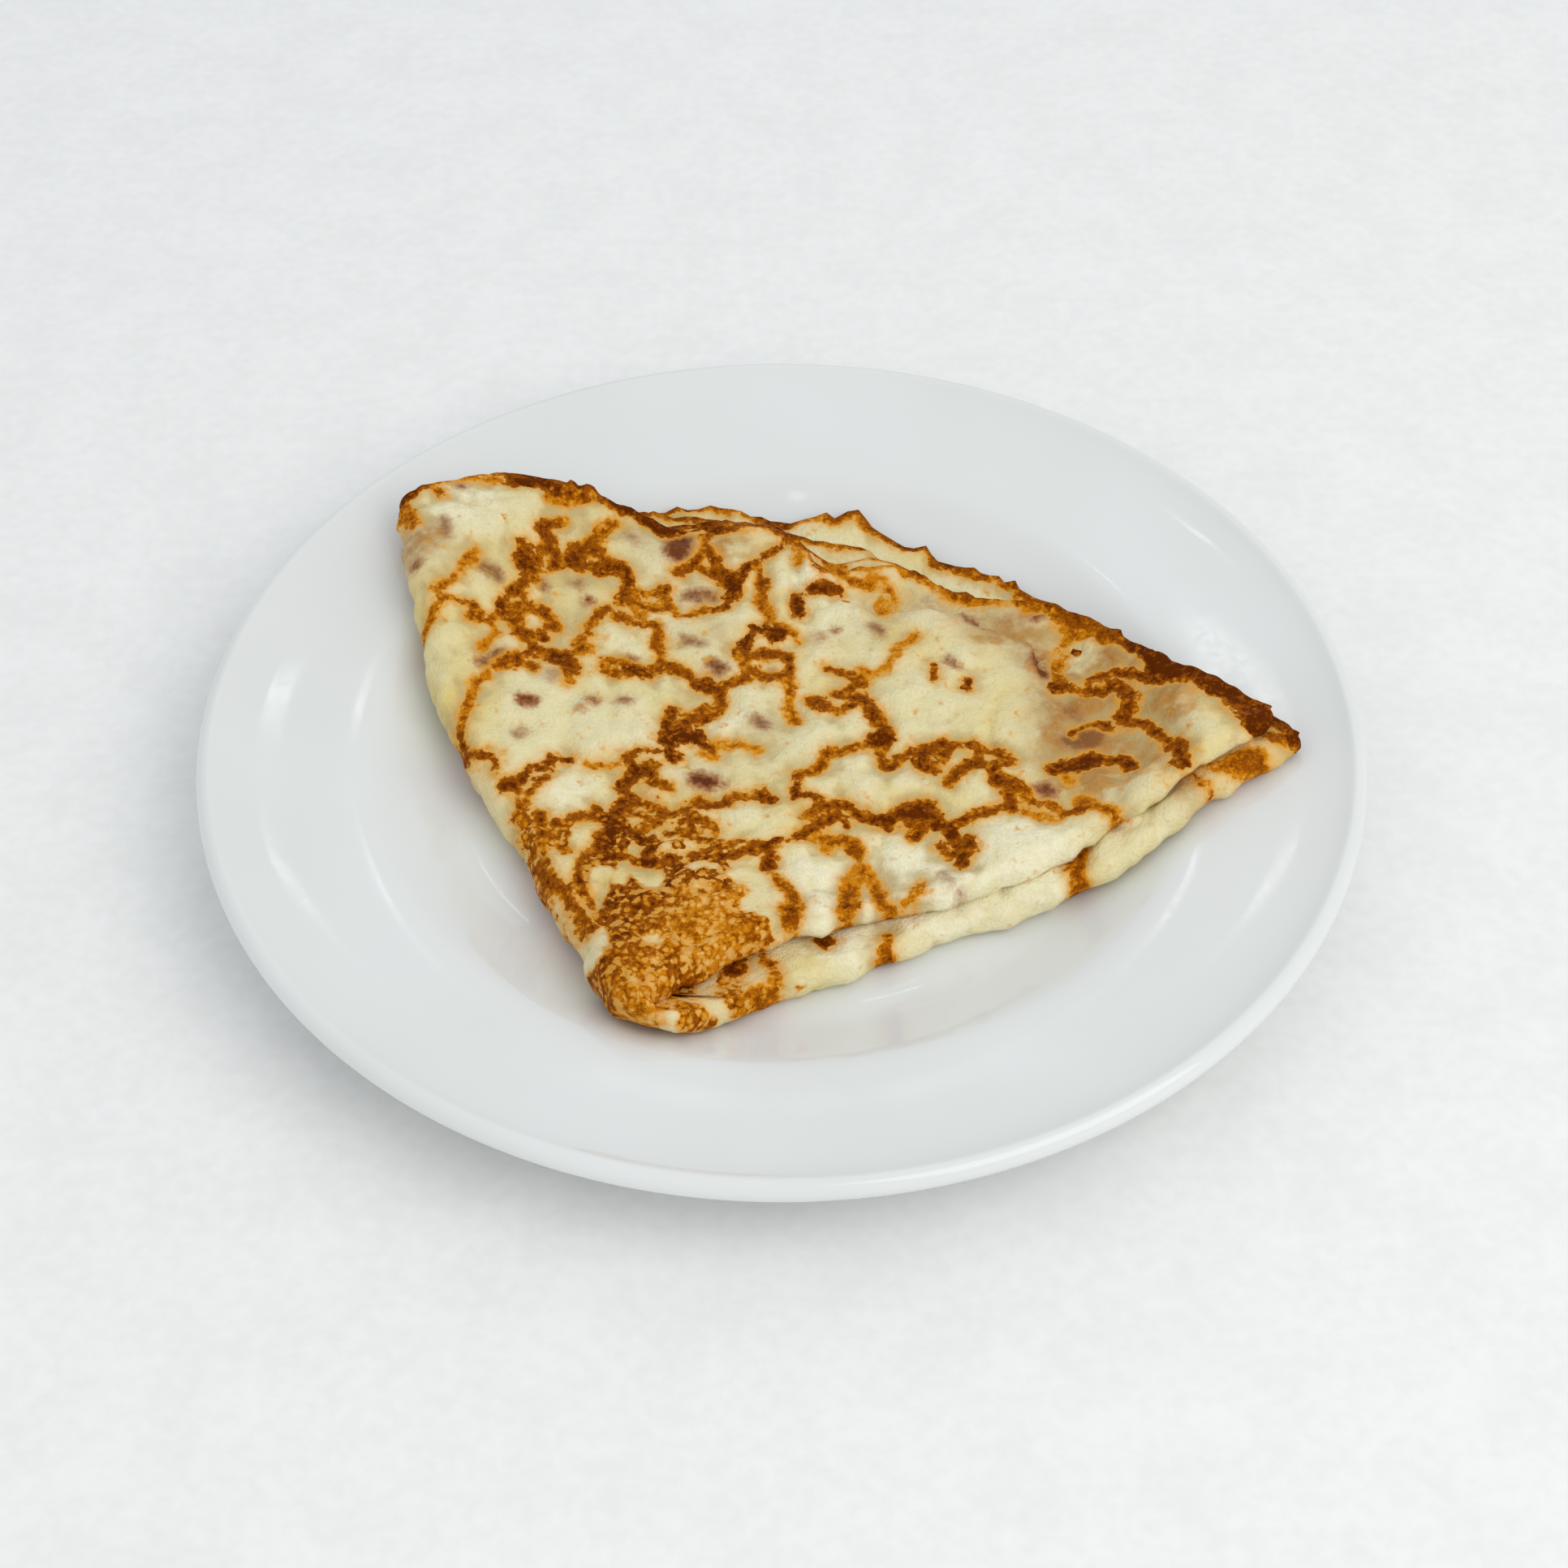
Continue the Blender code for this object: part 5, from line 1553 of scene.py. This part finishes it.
class CREPE_OT_stage(bpy.types.Operator):
    """Lay the floor, place the lights and the camera"""

    bl_idname = "crepe.stage"
    bl_label = "Stage"

    def execute(self, context):
        settings = context.scene.stage_settings
        mesh = bpy.data.meshes.new("floor")
        ways = ((-1, -1), (1, -1), (1, 1), (-1, 1))
        corners = [(x * FLOOR_REACH, y * FLOOR_REACH, 0) for x, y in ways]
        mesh.from_pydata(corners, [], [(0, 1, 2, 3)])
        floor = bpy.data.objects.new("floor", mesh)
        context.scene.collection.objects.link(floor)
        surface, tree, shader = new_surface("floor_paper")
        soft = grain(tree, place_of(tree), 14.0, 3.0)
        shade = tuple(0.94 * part for part in settings.floor)
        paper = blend(tree, ease(tree, soft, 0.3, 0.7), settings.floor, shade)
        plug(tree, shader.inputs["Base Color"], paper)
        plug(tree, shader.inputs["Roughness"], 0.8)
        mesh.materials.append(surface)
        soft_light("key", KEY_PLACE, KEY_SIZE, settings.key, KEY_COLOUR)
        for name, bearing, height, size in PANES:
            turn, up = np.radians((bearing, height))
            away = PANE_DISTANCE * np.cos(up)
            place = (away * np.cos(turn), away * np.sin(turn), PANE_DISTANCE * np.sin(up))
            area = size[0] * size[1]
            soft_light(name, place, size, np.pi * settings.pane * area, PANE_COLOUR)
        world = bpy.data.worlds.new("surroundings")
        world.use_nodes = True
        sky = world.node_tree.nodes["Background"]
        plug(world.node_tree, sky.inputs["Color"], SKY_COLOUR)
        plug(world.node_tree, sky.inputs["Strength"], settings.sky)
        context.scene.world = world
        context.scene.view_settings.view_transform = "Standard"
        place_camera(context.scene)
        return {"FINISHED"}


def place_camera(scene):
    """A long lens above the front of the plate, looking down at just under half a right angle."""
    elevation = np.radians(CAMERA_ELEVATION)
    data = bpy.data.cameras.new("camera")
    data.sensor_width = SENSOR_WIDTH
    data.lens = LENS
    data.clip_start = 0.01
    camera = bpy.data.objects.new("camera", data)
    back = Vector((0, -np.cos(elevation), np.sin(elevation)))
    camera.location = Vector(CAMERA_AIM) + CAMERA_DISTANCE * back
    camera.rotation_euler = (np.pi / 2 - elevation, 0, 0)
    scene.collection.objects.link(camera)
    scene.camera = camera


class CREPE_PT_panel(bpy.types.Panel):
    """The pieces and their settings"""

    bl_idname = "CREPE_PT_panel"
    bl_label = "Plate of Crepe"
    bl_space_type = "VIEW_3D"
    bl_region_type = "UI"
    bl_category = "Crepe"

    def draw(self, context):
        scene = context.scene
        for title, settings in (
            ("Plate", scene.plate_settings),
            ("Crepe", scene.crepe_settings),
            ("Stage", scene.stage_settings),
        ):
            box = self.layout.box()
            box.label(text=title)
            for name in settings.__annotations__:
                box.prop(settings, name)
        for operator in OPERATORS:
            self.layout.operator(operator.bl_idname)


SETTINGS = {
    "plate_settings": PlateSettings,
    "crepe_settings": CrepeSettings,
    "stage_settings": StageSettings,
}
OPERATORS = (CREPE_OT_plate, CREPE_OT_crepe, CREPE_OT_crumb, CREPE_OT_stage)


def register():
    for name, settings in SETTINGS.items():
        bpy.utils.register_class(settings)
        setattr(bpy.types.Scene, name, bpy.props.PointerProperty(type=settings))
    for kind in (*OPERATORS, CREPE_PT_panel):
        bpy.utils.register_class(kind)


def unregister():
    for kind in (CREPE_PT_panel, *reversed(OPERATORS)):
        bpy.utils.unregister_class(kind)
    for name, settings in reversed(SETTINGS.items()):
        delattr(bpy.types.Scene, name)
        bpy.utils.unregister_class(settings)


def main():
    register()
    bpy.ops.crepe.plate()
    bpy.ops.crepe.crepe()
    bpy.ops.crepe.crumb()
    bpy.ops.crepe.stage()


if __name__ == "__main__":
    main()
